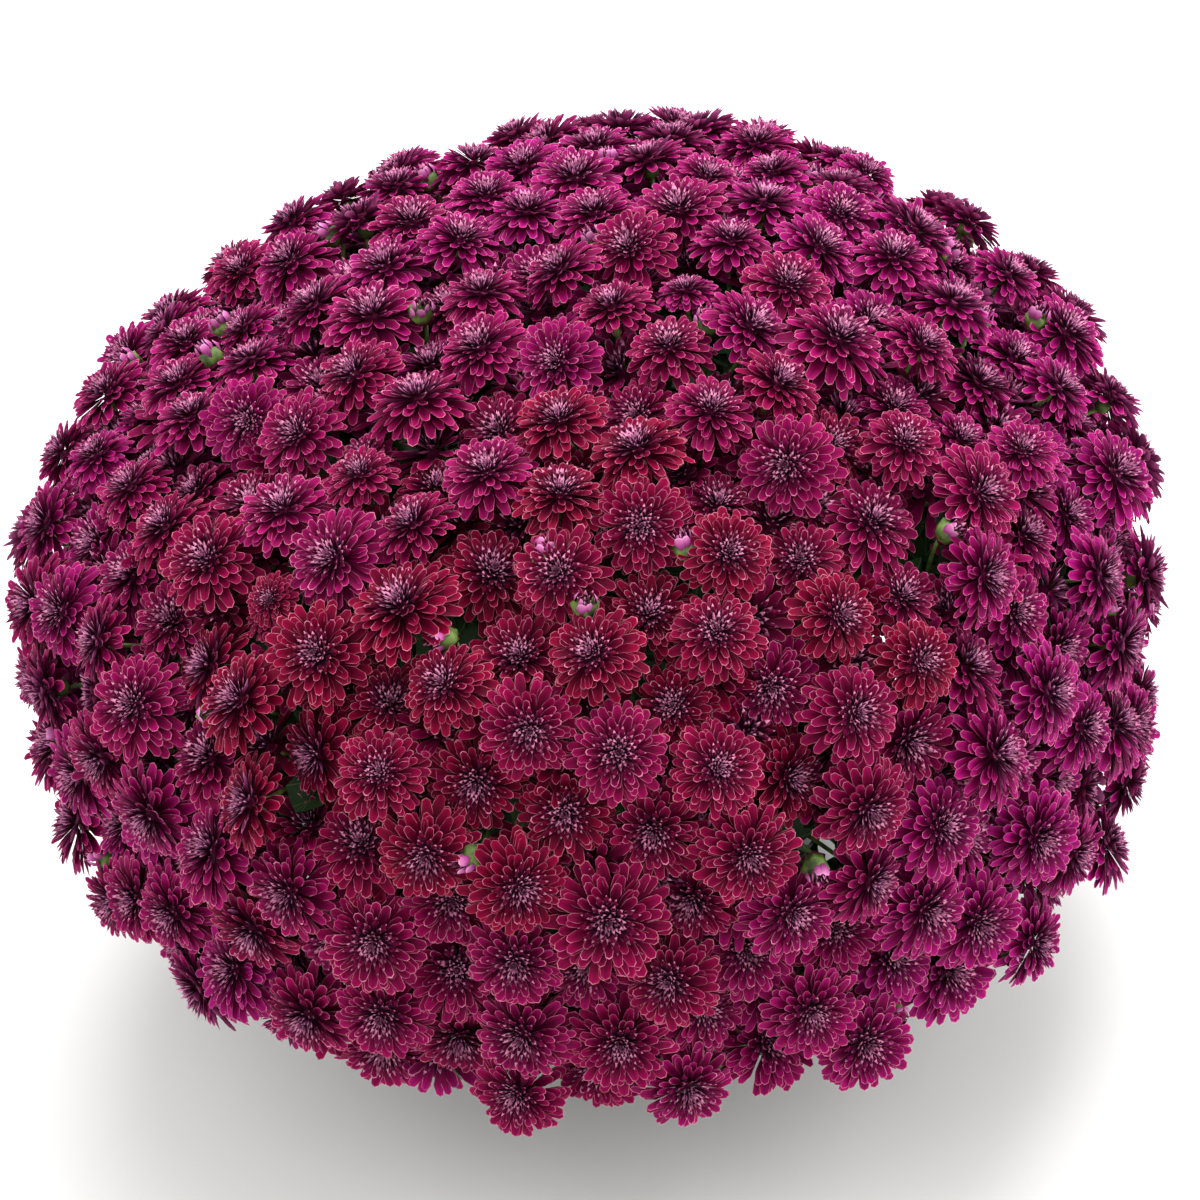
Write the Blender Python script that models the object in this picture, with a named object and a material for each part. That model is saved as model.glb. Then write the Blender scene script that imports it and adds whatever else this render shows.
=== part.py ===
"""Pot chrysanthemum: a full dome of double blooms on forked leafy stems, in a plain nursery pot.

Metres, +Z up. The origin is the middle of the pot's flat base, on the surface that it stands on.
"""

import math

import bmesh
import bpy
import numpy as np

MM = 0.001

# Pot
POT_HEIGHT = 170 * MM
POT_TOP_RADIUS = 120 * MM
POT_BASE_RADIUS = 88 * MM
POT_WALL = 2.5 * MM
POT_FLOOR = 4 * MM
RIM_DROP = 22 * MM
RIM_PROUD = 4 * MM
RIM_BEAD = 2.5 * MM
POT_SIDES = 24
DRAIN_HOLES = 6
DRAIN_RADIUS = 7 * MM
DRAIN_PITCH_RADIUS = 62 * MM
DRAIN_SIDES = 8

# Soil
SOIL_LEVEL = 148 * MM
SOIL_CROWN = 5 * MM
SOIL_GAP = 0.3 * MM
STEM_HOLE_DEPTH = 32 * MM
STEM_HOLE_SIDES = 8

# Canopy, measured on the middles of the blooms, and the blooms' places on it
CANOPY_RADIUS = 267 * MM
CANOPY_CROWN_RISE = 168 * MM
CANOPY_CROWN_LEAN = 42 * MM
CANOPY_SKIRT_RISE = 478 * MM
CANOPY_SKIRT_DROP = 117 * MM
CANOPY_WIDEST_LEVEL = 256 * MM
LUMP_HEIGHT = 1.8 * MM
# Direction, in waves across the dome, and phase of each swell
LUMP_WAVES = np.array([(4.1, 1.7, 0.0, 0.6), (-2.3, 3.3, -2.9, 1.2), (2.3, -1.4, 2.6, -0.8)])
BLOOM_COUNT = 410
SPRAY_COUNT = 38
SPRAY_ROUNDS = 8
SITE_JITTER = 0.20
SITE_ROUNDS = 80
SITE_SPACING = 46 * MM
PUSH_SHARE = 0.25
HEIGHT_LOW = -11 * MM
HEIGHT_HIGH = 6 * MM
SEED = 7

# Bloom, with reaches and rises as shares of its radius
BLOOM_LARGEST = 23 * MM
BLOOM_CLEARANCE = 0.3 * MM
BLOOM_STALK = 24 * MM
NECK_RADIUS = 3.2 * MM
PETALS = 5
TIP_RISE = 0.02
NOTCH_SHARE = 0.74
NOTCH_DROP = 0.27
INNER_SHARE = 0.44
INNER_RISE = 0.36
MIDDLE_RISE = 0.14
SINGLE_SHARE = 0.55
SINGLE_RISE = 0.36
TILT_UP = 0.30
TILT_RANDOM = 0.12

# Spray
SPRAY_DEPTH = 44 * MM
SPRAY_FOOT_RADIUS = 4 * MM
SPRAY_EDGE_GAP = 3.6 * MM
SPRAY_EDGE_STEP = 2 * MM
SPRAY_EDGE_TURNS = 30
CORNER_TO_NECK = 7 * MM
SEAT_GAP = 0.3 * MM

# Stems
OUTER_STEMS = 6
STEM_RING_RADIUS = 30 * MM
STEM_RADIUS = 6 * MM
STEM_TOP_RADIUS = 4.5 * MM
STEM_SIDES = 6
BRANCH_RADIUS = 3 * MM
BRANCH_SIDES = 3
BRANCH_KNEE = 0.35
BRANCH_STEP = 10 * MM
CENTRE_CONE = math.radians(40)
OUTER_FORK = (92 * MM, 222 * MM)
CENTRE_FORK_LEVEL = 258 * MM
HOLE_CLEARANCE = 0.5 * MM

# Leaves
LEAF_LENGTH = 58 * MM
LEAF_HALF_WIDTH = 20 * MM
LEAF_THICKNESS = 2.2 * MM
LEAF_CUP = 3 * MM
LEAF_CUP_PLACE = 0.55
LEAF_PLACE = 0.62
LEAF_SPREAD = 1.7
LEAF_FIRST_TURN = 0.4
# Half outline of one lobed leaf: share of the length, share of the half width
LEAF_OUTLINE = ((0.0, 0.04), (0.32, 0.72), (0.44, 0.48), (0.62, 1.0), (0.74, 0.50))

GOLDEN_ANGLE = math.pi * (3 - math.sqrt(5))
# Linear base colour and roughness of each finish
PETAL_FINISH = ((0.30, 0.008, 0.070), 0.55)
LEAF_FINISH = ((0.030, 0.075, 0.022), 0.60)
SOIL_FINISH = ((0.035, 0.022, 0.015), 0.95)
POT_FINISH = ((0.018, 0.019, 0.020), 0.45)


def clear_scene():
    """Remove every object of the open file."""
    for old in list(bpy.data.objects):
        bpy.data.objects.remove(old, do_unlink=True)


def material(name, colour, roughness):
    """A plain Principled material."""
    made = bpy.data.materials.new(name)
    made.use_nodes = True
    shader = made.node_tree.nodes["Principled BSDF"]
    shader.inputs["Base Color"].default_value = (*colour, 1.0)
    shader.inputs["Roughness"].default_value = roughness
    shader.inputs["Metallic"].default_value = 0.0
    return made


def object_from(bm, name, finish, collection=None):
    """Turn a bmesh into a linked object with outward normals."""
    bmesh.ops.recalc_face_normals(bm, faces=bm.faces)
    mesh = bpy.data.meshes.new(name)
    bm.to_mesh(mesh)
    bm.free()
    mesh.materials.append(finish)
    made = bpy.data.objects.new(name, mesh)
    (collection or bpy.context.scene.collection).objects.link(made)
    return made


def apply_boolean(target, operation, collection):
    """Cut or join a collection's objects with the target, then remove them."""
    modifier = target.modifiers.new("boolean", "BOOLEAN")
    modifier.operation = operation
    modifier.operand_type = "COLLECTION"
    modifier.collection = collection
    modifier.solver = "EXACT"
    bpy.context.view_layer.update()
    graph = bpy.context.evaluated_depsgraph_get()
    result = bpy.data.meshes.new_from_object(target.evaluated_get(graph))
    target.modifiers.clear()
    target.data = result
    for helper in list(collection.objects):
        bpy.data.objects.remove(helper, do_unlink=True)
    bpy.data.collections.remove(collection)


def helper_collection(name):
    """A linked collection for the pieces of one Boolean."""
    made = bpy.data.collections.new(name)
    bpy.context.scene.collection.children.link(made)
    return made


def turned(profile, sides, name, finish):
    """Spin a closed (radius, height) profile, whose first and last points are on the axis."""
    bm = bmesh.new()
    points = [bm.verts.new((radius, 0, height)) for radius, height in profile]
    edges = [bm.edges.new(pair) for pair in zip(points, points[1:])]
    bmesh.ops.spin(bm, geom=points + edges, cent=(0, 0, 0), axis=(0, 0, 1), angle=2 * math.pi,
                   steps=sides, use_merge=True)
    bmesh.ops.remove_doubles(bm, verts=bm.verts, dist=0.01 * MM)
    return object_from(bm, name, finish)


def peg(radius, sides, low, high, centre, name, finish, collection):
    """A plain upright prism, used as a cutter."""
    bm = bmesh.new()
    bmesh.ops.create_cone(bm, cap_ends=True, segments=sides, radius1=radius, radius2=radius,
                          depth=high - low)
    bmesh.ops.translate(bm, verts=bm.verts, vec=(*centre, (low + high) / 2))
    return object_from(bm, name, finish, collection)


def ring_points(count, radius, start=0.0):
    """Evenly spaced (x, y) points on a circle."""
    turns = [start + 2 * math.pi * k / count for k in range(count)]
    return [(radius * math.cos(turn), radius * math.sin(turn)) for turn in turns]


def pot_wall_radius(level):
    """The outer radius of the pot's plain taper at a level."""
    return POT_BASE_RADIUS + (POT_TOP_RADIUS - POT_BASE_RADIUS) * level / POT_HEIGHT


def make_pot(finish):
    """Tapered moulded pot with a banded rim and drainage holes."""
    band_low = POT_HEIGHT - RIM_DROP
    top = pot_wall_radius(POT_HEIGHT)
    profile = [
        (0, 0),
        (POT_BASE_RADIUS - RIM_BEAD, 0),
        (pot_wall_radius(RIM_BEAD), RIM_BEAD),
        (pot_wall_radius(band_low - RIM_BEAD), band_low - RIM_BEAD),
        (pot_wall_radius(band_low) + RIM_PROUD, band_low),
        (top + RIM_PROUD, POT_HEIGHT - RIM_BEAD),
        (top + RIM_PROUD - RIM_BEAD, POT_HEIGHT),
        (top - POT_WALL, POT_HEIGHT),
        (pot_wall_radius(POT_FLOOR) - POT_WALL, POT_FLOOR),
        (0, POT_FLOOR),
    ]
    pot = turned(profile, POT_SIDES, "pot", finish)
    cutters = helper_collection("drains")
    for index, place in enumerate(ring_points(DRAIN_HOLES, DRAIN_PITCH_RADIUS)):
        peg(DRAIN_RADIUS, DRAIN_SIDES, -POT_FLOOR, 2 * POT_FLOOR, place, f"drain_{index}", finish, cutters)
    apply_boolean(pot, "DIFFERENCE", cutters)
    return pot


def stem_feet():
    """Where the stems stand in the soil: the middle one first, then the ring."""
    return [(0.0, 0.0)] + ring_points(OUTER_STEMS, STEM_RING_RADIUS, math.pi / OUTER_STEMS)


def make_soil(finish):
    """Potting mix that fills the pot, with one plain hole for each stem."""
    low = POT_FLOOR + SOIL_GAP
    inside = POT_WALL + SOIL_GAP
    profile = [
        (0, low),
        (pot_wall_radius(low) - inside, low),
        (pot_wall_radius(SOIL_LEVEL) - inside, SOIL_LEVEL),
        (STEM_RING_RADIUS * 2, SOIL_LEVEL + SOIL_CROWN),
        (0, SOIL_LEVEL + SOIL_CROWN),
    ]
    soil = turned(profile, POT_SIDES, "soil", finish)
    cutters = helper_collection("stem_holes")
    for index, place in enumerate(stem_feet()):
        radius = (STEM_RADIUS + HOLE_CLEARANCE) / math.cos(math.pi / STEM_HOLE_SIDES)
        peg(radius, STEM_HOLE_SIDES, SOIL_LEVEL + SOIL_CROWN - STEM_HOLE_DEPTH, POT_HEIGHT, place,
            f"stem_hole_{index}", finish, cutters)
    apply_boolean(soil, "DIFFERENCE", cutters)
    return soil


def lean(height):
    """How far the dome's axis has moved to +X at a height above the widest level."""
    return CANOPY_CROWN_LEAN * np.clip(height / CANOPY_CROWN_RISE, 0, None) ** 2


def upright_offset(points):
    """Points as seen from the dome's middle, with the lean of the crown taken out."""
    offset = points - np.array([0, 0, CANOPY_WIDEST_LEVEL])
    offset[..., 0] -= lean(offset[..., 2])
    return offset


class Canopy:
    """The smooth dome that the blooms stand on: a crown that leans to +X above a steep skirt."""

    def __init__(self, inset=0.0):
        """Make the dome, moved inwards by inset."""
        self.radius = CANOPY_RADIUS - inset
        self.crown = CANOPY_CROWN_RISE - inset
        self.skirt = CANOPY_SKIRT_RISE - inset

    def outline(self, slope):
        """Distance from the axis and height above the widest level, at a slope from straight up."""
        rise = np.where(np.cos(slope) > 0, self.crown, self.skirt)
        reach = 1 / np.sqrt((np.sin(slope) / self.radius) ** 2 + (np.cos(slope) / rise) ** 2)
        return reach * np.sin(slope), reach * np.cos(slope)

    def point(self, slope, turn):
        """The point at a slope from straight up, seen from the dome's middle, and a turn about Z."""
        distance, height = self.outline(slope)
        return np.stack([distance * np.cos(turn) + lean(height), distance * np.sin(turn),
                         height + CANOPY_WIDEST_LEVEL], axis=-1)

    def on_surface(self, points):
        """Points moved along the line to the dome's middle until they lie on it."""
        offset = upright_offset(points)
        slope = np.arctan2(np.hypot(offset[..., 0], offset[..., 1]), offset[..., 2])
        return self.point(np.minimum(slope, self.lowest_slope()), np.arctan2(offset[..., 1], offset[..., 0]))

    def normal(self, points):
        """Outward unit normals at points on the dome."""
        offset = upright_offset(points)
        x, y, height = offset[..., 0], offset[..., 1], offset[..., 2]
        rise = np.where(height > 0, self.crown, self.skirt)
        lean_slope = 2 * lean(height) / np.maximum(height, MM)
        slanted = np.stack([x / self.radius ** 2, y / self.radius ** 2,
                            height / rise ** 2 - lean_slope * x / self.radius ** 2], axis=-1)
        return slanted / np.linalg.norm(slanted, axis=-1, keepdims=True)

    def lowest_slope(self):
        """The slope of the skirt's lowest blooms."""
        reach = self.radius * math.sqrt(1 - (CANOPY_SKIRT_DROP / self.skirt) ** 2)
        return math.pi / 2 + math.atan2(CANOPY_SKIRT_DROP, reach)

    def spiral(self, count):
        """Points on a golden-angle spiral, each with the same share of the dome's area."""
        slopes = np.linspace(0, self.lowest_slope(), 2000)
        distance, height = self.outline(slopes)
        steps = np.hypot(np.diff(distance), np.diff(height))
        area = np.concatenate([[0], np.cumsum(steps * (distance[1:] + distance[:-1]) / 2)])
        shares = (np.arange(count) + 0.5) / count
        return self.point(np.interp(shares * area[-1], area, slopes), np.arange(count) * GOLDEN_ANGLE)


def bloom_sites(canopy, draw):
    """Places on the dome and heights above it, from an even spiral whose blooms push each other apart."""
    sites = canopy.spiral(BLOOM_COUNT)
    sites = canopy.on_surface(sites + draw.normal(0, SITE_JITTER * SITE_SPACING, sites.shape))
    heights = draw.uniform(HEIGHT_LOW, HEIGHT_HIGH, len(sites))
    for _ in range(SITE_ROUNDS):
        normals = canopy.normal(sites)
        middles = sites + heights[:, None] * normals
        apart = middles[:, None] - middles[None]
        gaps = np.linalg.norm(apart, axis=2) + np.eye(len(sites))
        push = np.clip(SITE_SPACING - gaps, 0, None) * (1 - np.eye(len(sites)))
        move = PUSH_SHARE * (apart / gaps[..., None] * push[..., None]).sum(axis=1)
        heights = np.clip(heights + (move * normals).sum(axis=1), HEIGHT_LOW, HEIGHT_HIGH)
        sites = canopy.on_surface(sites + move)
    return sites, heights


def lumps(points):
    """Height of the dome's broad uneven swells at points on it."""
    return LUMP_HEIGHT * np.sin(points / CANOPY_RADIUS @ LUMP_WAVES[:, :3].T + LUMP_WAVES[:, 3]).sum(axis=1)


def bloom_radii(middles):
    """The largest bloom radii that keep every bloom's own sphere clear of the others."""
    gaps = np.linalg.norm(middles[:, None] - middles[None], axis=2) + np.eye(len(middles))
    radii = np.minimum(gaps.min(axis=1) / 2 - BLOOM_CLEARANCE, BLOOM_LARGEST)
    for index in range(len(middles)):
        room = gaps[index] - radii - 2 * BLOOM_CLEARANCE
        room[index] = BLOOM_LARGEST
        radii[index] = min(BLOOM_LARGEST, room.min())
    return radii


class Bloom:
    """One double bloom: a flared calyx, an outer star of petals and a raised inner ring of them."""

    def __init__(self, foot, normal, middle, axis, radius, turn, single):
        """Keep the bloom's place, size and turn, and whether it shows its outer petals alone."""
        self.foot, self.normal, self.middle = foot, normal, middle
        self.axis, self.radius, self.turn, self.single = axis, radius, turn, single

    def neck(self, core):
        """Three points of the stalk's foot, on the spray's core."""
        across, along = frame_about(self.normal)
        turns = self.turn + 2 * math.pi * np.arange(3) / 3
        ring = np.outer(np.cos(turns), across) + np.outer(np.sin(turns), along)
        return core.on_surface(self.foot + NECK_RADIUS * ring)

    def ring(self, count, start, reach, rise):
        """Points about the bloom's axis, with reach and rise as shares of its radius."""
        across, along = frame_about(self.axis)
        turns = self.turn + 2 * math.pi * (start + np.arange(count)) / count
        sideways = np.outer(np.cos(turns), across) + np.outer(np.sin(turns), along)
        reach, rise = np.broadcast_to(reach, count), np.broadcast_to(rise, count)
        return self.middle + self.radius * (reach[:, None] * sideways + np.outer(rise, self.axis))

    def grow(self, bm, neck_verts):
        """Replace the stalk's foot face by the calyx and the petals."""
        bmesh.ops.delete(bm, geom=[bm.faces.get(neck_verts)], context="FACES_ONLY")
        count = 2 * PETALS
        is_tip = np.arange(count) % 2 == 0
        rim = [bm.verts.new(point) for point in self.ring(
            count, 0, np.where(is_tip, math.sqrt(1 - TIP_RISE ** 2), NOTCH_SHARE),
            np.where(is_tip, TIP_RISE, -NOTCH_DROP))]
        join_rings(bm, rim, neck_verts)
        if self.single:
            close_ring(bm, rim[::-1], bm.verts.new(self.middle + SINGLE_RISE * self.radius * self.axis))
            return
        inner = [bm.verts.new(point) for point in self.ring(PETALS, 0.5, INNER_SHARE, INNER_RISE)]
        for index, vert in enumerate(inner):
            tip, notch, following = (rim[(2 * index + step) % count] for step in range(3))
            bm.faces.new((tip, notch, vert))
            bm.faces.new((notch, following, vert))
            bm.faces.new((following, inner[(index + 1) % PETALS], vert))
        close_ring(bm, inner[::-1], bm.verts.new(self.middle + MIDDLE_RISE * self.radius * self.axis))


def join_rings(bm, rim, neck_verts):
    """The calyx between a bloom's rim and the three points of its stalk."""
    count = len(rim)
    owner = [int(3 * (index + 0.5) / count + 0.5) % 3 for index in range(count)]
    for index in range(count):
        following = (index + 1) % count
        bm.faces.new((rim[following], rim[index], neck_verts[owner[index]]))
        if owner[index] != owner[following]:
            bm.faces.new((rim[following], neck_verts[owner[index]], neck_verts[owner[following]]))


def close_ring(bm, ring, middle):
    """Close a ring of points with a fan of faces about one more."""
    for vert, following in zip(ring, ring[1:] + ring[:1]):
        bm.faces.new((following, vert, middle))


def frame_about(axis):
    """Two unit vectors square to an axis and to each other, right-handed with it."""
    axis = axis / np.linalg.norm(axis)
    helper = np.array([0.0, 0.0, 1.0]) if abs(axis[2]) < 0.9 else np.array([1.0, 0.0, 0.0])
    across = np.cross(helper, axis)
    across = across / np.linalg.norm(across)
    return across, np.cross(axis, across)


def make_blooms(canopy, core, draw):
    """Every bloom of the dome, with its foot on the core."""
    sites, heights = bloom_sites(canopy, draw)
    normals = canopy.normal(sites)
    middles = sites + (heights + lumps(sites))[:, None] * normals
    radii = bloom_radii(middles)
    axes = normals + TILT_UP * np.sqrt(1 - normals[:, 2:] ** 2) * np.array([0, 0, 1])
    axes = axes + draw.normal(0, TILT_RANDOM, sites.shape)
    axes = axes / np.linalg.norm(axes, axis=1, keepdims=True)
    feet = core.on_surface(sites - BLOOM_STALK * normals)
    turns = draw.uniform(0, 2 * math.pi, len(sites))
    singles = heights.argsort().argsort() < SINGLE_SHARE * len(sites)
    return [Bloom(*values) for values in zip(feet, core.normal(feet), middles, axes, radii, turns, singles)]


def share_blooms(core, blooms):
    """The middles of the sprays on the core, and the index of the spray that bears each bloom."""
    feet = np.array([bloom.foot for bloom in blooms])
    centres = core.spiral(SPRAY_COUNT)
    for _ in range(SPRAY_ROUNDS):
        owners = np.linalg.norm(feet[:, None] - centres[None], axis=2).argmin(axis=1)
        centres = core.on_surface(np.array([feet[owners == k].mean(axis=0) for k in range(SPRAY_COUNT)]))
    return centres, np.linalg.norm(feet[:, None] - centres[None], axis=2).argmin(axis=1)


def spray_corners(core, centre, centres):
    """Points on the core, at the corners of a spray's share of it, just inside the border."""
    across, along = frame_about(core.normal(centre))
    others = centres[np.linalg.norm(centres - centre, axis=1) > 0]
    borders = (others - centre) / np.linalg.norm(others - centre, axis=1, keepdims=True)
    halfway = ((centre + others) / 2 * borders).sum(axis=1) - SPRAY_EDGE_GAP
    reaches = np.arange(SPRAY_EDGE_STEP, core.radius, SPRAY_EDGE_STEP)
    edge = []
    for turn in 2 * math.pi * np.arange(SPRAY_EDGE_TURNS) / SPRAY_EDGE_TURNS:
        ray = core.on_surface(centre + np.outer(reaches, math.cos(turn) * across + math.sin(turn) * along))
        inside = (ray @ borders.T < halfway).all(axis=1)
        outside = np.flatnonzero(~inside)
        edge.append(ray[max(outside[0] - 1, 0) if len(outside) else -1])
    spans = np.linalg.norm(np.array(edge) - centre, axis=1)
    is_corner = (spans >= np.roll(spans, 1)) & (spans > np.roll(spans, -1))
    return [point for point, kept in zip(edge, is_corner) if kept]


def make_spray(name, blooms, core, centre, centres, finish):
    """One head of blooms: a core that narrows to the branch's end, with the blooms standing out of it."""
    bm = bmesh.new()
    necks = [[bm.verts.new(point) for point in bloom.neck(core)] for bloom in blooms]
    feet = np.array([bloom.foot for bloom in blooms])
    for corner in spray_corners(core, centre, centres):
        if np.linalg.norm(feet - corner, axis=1).min() > CORNER_TO_NECK:
            bm.verts.new(corner)
    foot, inwards = spray_foot(core, centre)
    across, along = frame_about(inwards)
    for turn in 2 * math.pi * np.arange(3) / 3:
        bm.verts.new(foot + SPRAY_FOOT_RADIUS * (math.cos(turn) * across + math.sin(turn) * along))
    bmesh.ops.convex_hull(bm, input=bm.verts, use_existing_faces=False)
    for bloom, neck_verts in zip(blooms, necks):
        bloom.grow(bm, neck_verts)
    return object_from(bm, name, finish)


def spray_foot(core, centre):
    """Where a spray's core ends on its branch, and the inward direction there."""
    inwards = -core.normal(centre)
    return centre + SPRAY_DEPTH * inwards, inwards


def tube(points, radii, sides, name, finish, collection):
    """A straight-sided stem through points, with a ring of the given radius at each, untwisted."""
    bm = bmesh.new()
    points = [np.array(point) for point in points]
    across = frame_about(points[1] - points[0])[0]
    rings = []
    for index, (point, radius) in enumerate(zip(points, radii)):
        before, after = points[max(index - 1, 0)], points[min(index + 1, len(points) - 1)]
        axis = (after - before) / np.linalg.norm(after - before)
        across = across - across.dot(axis) * axis
        across = across / np.linalg.norm(across)
        along = np.cross(axis, across)
        rings.append([bm.verts.new(point + radius * (math.cos(turn) * across + math.sin(turn) * along))
                      for turn in 2 * math.pi * np.arange(sides) / sides])
    for low, high in zip(rings, rings[1:]):
        for index in range(sides):
            following = (index + 1) % sides
            bm.faces.new((low[index], low[following], high[following], high[index]))
    bm.faces.new(rings[0][::-1])
    bm.faces.new(rings[-1])
    return object_from(bm, name, finish, collection)


def make_leaf(root, outwards, face, name, finish, collection):
    """One lobed leaf, cupped, thickest at its middle, whose foot is sunk in its stem."""
    outwards = outwards / np.linalg.norm(outwards)
    face = face - face.dot(outwards) * outwards
    face = face / np.linalg.norm(face)
    side = np.cross(outwards, face)
    half = [(LEAF_LENGTH * along, LEAF_HALF_WIDTH * across) for along, across in LEAF_OUTLINE]
    outline = half + [(LEAF_LENGTH, 0.0)] + [(along, -across) for along, across in reversed(half)]
    bm = bmesh.new()
    verts = [bm.verts.new(root + along * outwards + across * side) for along, across in outline]
    centre = root + LEAF_CUP_PLACE * LEAF_LENGTH * outwards - LEAF_CUP * face
    upper = bm.verts.new(centre)
    lower = bm.verts.new(centre - LEAF_THICKNESS * face)
    for index, vert in enumerate(verts):
        following = verts[(index + 1) % len(verts)]
        bm.faces.new((vert, following, upper))
        bm.faces.new((following, vert, lower))
    return object_from(bm, name, finish, collection)


def fork_of(stem):
    """The point where a stem divides into its branches."""
    if stem == 0:
        return np.array([0.0, 0.0, CENTRE_FORK_LEVEL])
    x, y = stem_feet()[stem]
    reach, level = OUTER_FORK
    return np.array([x / STEM_RING_RADIUS * reach, y / STEM_RING_RADIUS * reach, level])


def stem_of(centre):
    """Which stem bears the spray over this point: the middle one under the crown, else by its turn."""
    offset = upright_offset(centre)
    if math.atan2(math.hypot(offset[0], offset[1]), offset[2]) < CENTRE_CONE:
        return 0
    turn = math.atan2(offset[1], offset[0]) % (2 * math.pi)
    return 1 + int(turn / (2 * math.pi) * OUTER_STEMS)


def make_leafy_stem(stem, centres, core, finish):
    """A stem in the soil, its branches to the sprays, each lower than the last, and their leaves."""
    x, y = stem_feet()[stem]
    foot = np.array([x, y, SOIL_LEVEL + SOIL_CROWN - STEM_HOLE_DEPTH + SEAT_GAP])
    collar = np.array([x, y, SOIL_LEVEL + SOIL_CROWN + STEM_RADIUS])
    fork = fork_of(stem)
    parts = helper_collection(f"parts_{stem}")
    trunk = tube([foot, collar, fork], [STEM_RADIUS, STEM_RADIUS, STEM_TOP_RADIUS], STEM_SIDES,
                 f"leafy_stem_{stem + 1}", finish, None)
    downwards = (collar - fork) / np.linalg.norm(collar - fork)
    for index, centre in enumerate(centres):
        end, inwards = spray_foot(core, centre)
        end = end + SEAT_GAP * inwards
        root = fork + (STEM_TOP_RADIUS + index * BRANCH_STEP) * downwards
        knee = end + BRANCH_KNEE * np.linalg.norm(end - fork) * inwards
        tube([root, knee, end], [BRANCH_RADIUS] * 3, BRANCH_SIDES, f"branch_{index}", finish, parts)
        along = (end - knee) / np.linalg.norm(end - knee)
        across, upright = frame_about(along)
        turn = LEAF_FIRST_TURN + index * GOLDEN_ANGLE
        side = math.cos(turn) * across + math.sin(turn) * upright
        make_leaf(knee + LEAF_PLACE * (end - knee), along + LEAF_SPREAD * side, along, f"leaf_{index}",
                  finish, parts)
    apply_boolean(trunk, "UNION", parts)
    return trunk


def main():
    """Build the pot, the soil, the leafy stems and the sprays."""
    clear_scene()
    petal = material("petal", *PETAL_FINISH)
    leaf = material("leaf", *LEAF_FINISH)
    draw = np.random.default_rng(SEED)
    make_pot(material("pot", *POT_FINISH))
    make_soil(material("soil", *SOIL_FINISH))
    canopy, core = Canopy(), Canopy(BLOOM_STALK)
    blooms = make_blooms(canopy, core, draw)
    centres, owners = share_blooms(core, blooms)
    for index, centre in enumerate(centres):
        own = [bloom for bloom, owner in zip(blooms, owners) if owner == index]
        make_spray(f"spray_{index + 1:02d}", own, core, centre, centres, petal)
    for stem in range(OUTER_STEMS + 1):
        make_leafy_stem(stem, [centre for centre in centres if stem_of(centre) == stem], core, leaf)


if __name__ == "__main__":
    main()
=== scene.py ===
"""Looks of the pot chrysanthemum: double blooms with their petals, leaves, stalks, pot and soil.

The frame gives the pot, the soil and plain solids for the sprays and the leafy stems. Each spray's solid
is replaced by its blooms, whose places come from the same seeded rule as in the part's source. Each leafy
stem's solid is replaced by its branches, stalks, cups and lobed leaves. Metres, +Z up.
"""

import logging
import math
from collections.abc import Callable, Iterable, Iterator
from contextlib import contextmanager
from dataclasses import dataclass, field, replace
from enum import Enum
from functools import partial
from typing import NamedTuple

import bmesh
import bpy
import numpy as np
from mathutils import Matrix, Quaternion, Vector


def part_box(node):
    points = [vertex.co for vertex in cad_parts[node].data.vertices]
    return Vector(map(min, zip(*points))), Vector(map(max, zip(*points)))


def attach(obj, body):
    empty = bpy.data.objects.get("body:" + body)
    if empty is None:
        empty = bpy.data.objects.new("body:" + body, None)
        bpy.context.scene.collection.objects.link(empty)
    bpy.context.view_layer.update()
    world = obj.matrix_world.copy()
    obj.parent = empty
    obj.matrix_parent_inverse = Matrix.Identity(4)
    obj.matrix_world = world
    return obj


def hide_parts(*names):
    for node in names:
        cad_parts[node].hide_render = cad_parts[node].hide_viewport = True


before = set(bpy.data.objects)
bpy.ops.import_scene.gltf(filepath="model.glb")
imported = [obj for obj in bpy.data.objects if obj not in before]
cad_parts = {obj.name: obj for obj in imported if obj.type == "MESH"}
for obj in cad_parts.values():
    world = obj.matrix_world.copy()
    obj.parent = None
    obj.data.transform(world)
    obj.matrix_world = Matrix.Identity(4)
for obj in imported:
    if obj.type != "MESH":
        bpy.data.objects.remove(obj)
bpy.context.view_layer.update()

MM = 0.001
BODY = "root"
SEED = 7
GOLDEN_ANGLE = math.pi * (3 - math.sqrt(5))
TOUCHING = 0.001 * MM
LOG = logging.getLogger("pot_chrysanthemum")

Colour = tuple[float, float, float, float]
Source = bpy.types.Node | bpy.types.NodeSocket


class Slot(Enum):
    """Names of the record's material slots."""

    PETAL = "petal"
    LEAF = "leaf"
    POT = "pot"


class Kind(Enum):
    """How far a bloom has opened, and which layer it stands in."""

    FULL = "full"
    LOW = "low"
    HALF_OPEN = "half_open"
    BUD = "bud"


class Part(Enum):
    """What an edit-mode selection is made of."""

    POINTS = "VERT"
    EDGES = "EDGE"


# Shared helpers for colours, nodes and meshes


def linear(hex_colour: str) -> Colour:
    """Turn an sRGB hex value into a linear colour.

    Args:
        hex_colour: The colour as "#RRGGBB".

    Returns:
        Linear red, green, blue and full alpha.
    """
    # The numbers are those of the standard sRGB curve
    parts = [int(hex_colour[start:start + 2], 16) / 255 for start in (1, 3, 5)]
    made = [part / 12.92 if part <= 0.04045 else ((part + 0.055) / 1.055) ** 2.4 for part in parts]
    return (*made, 1.0)


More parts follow.
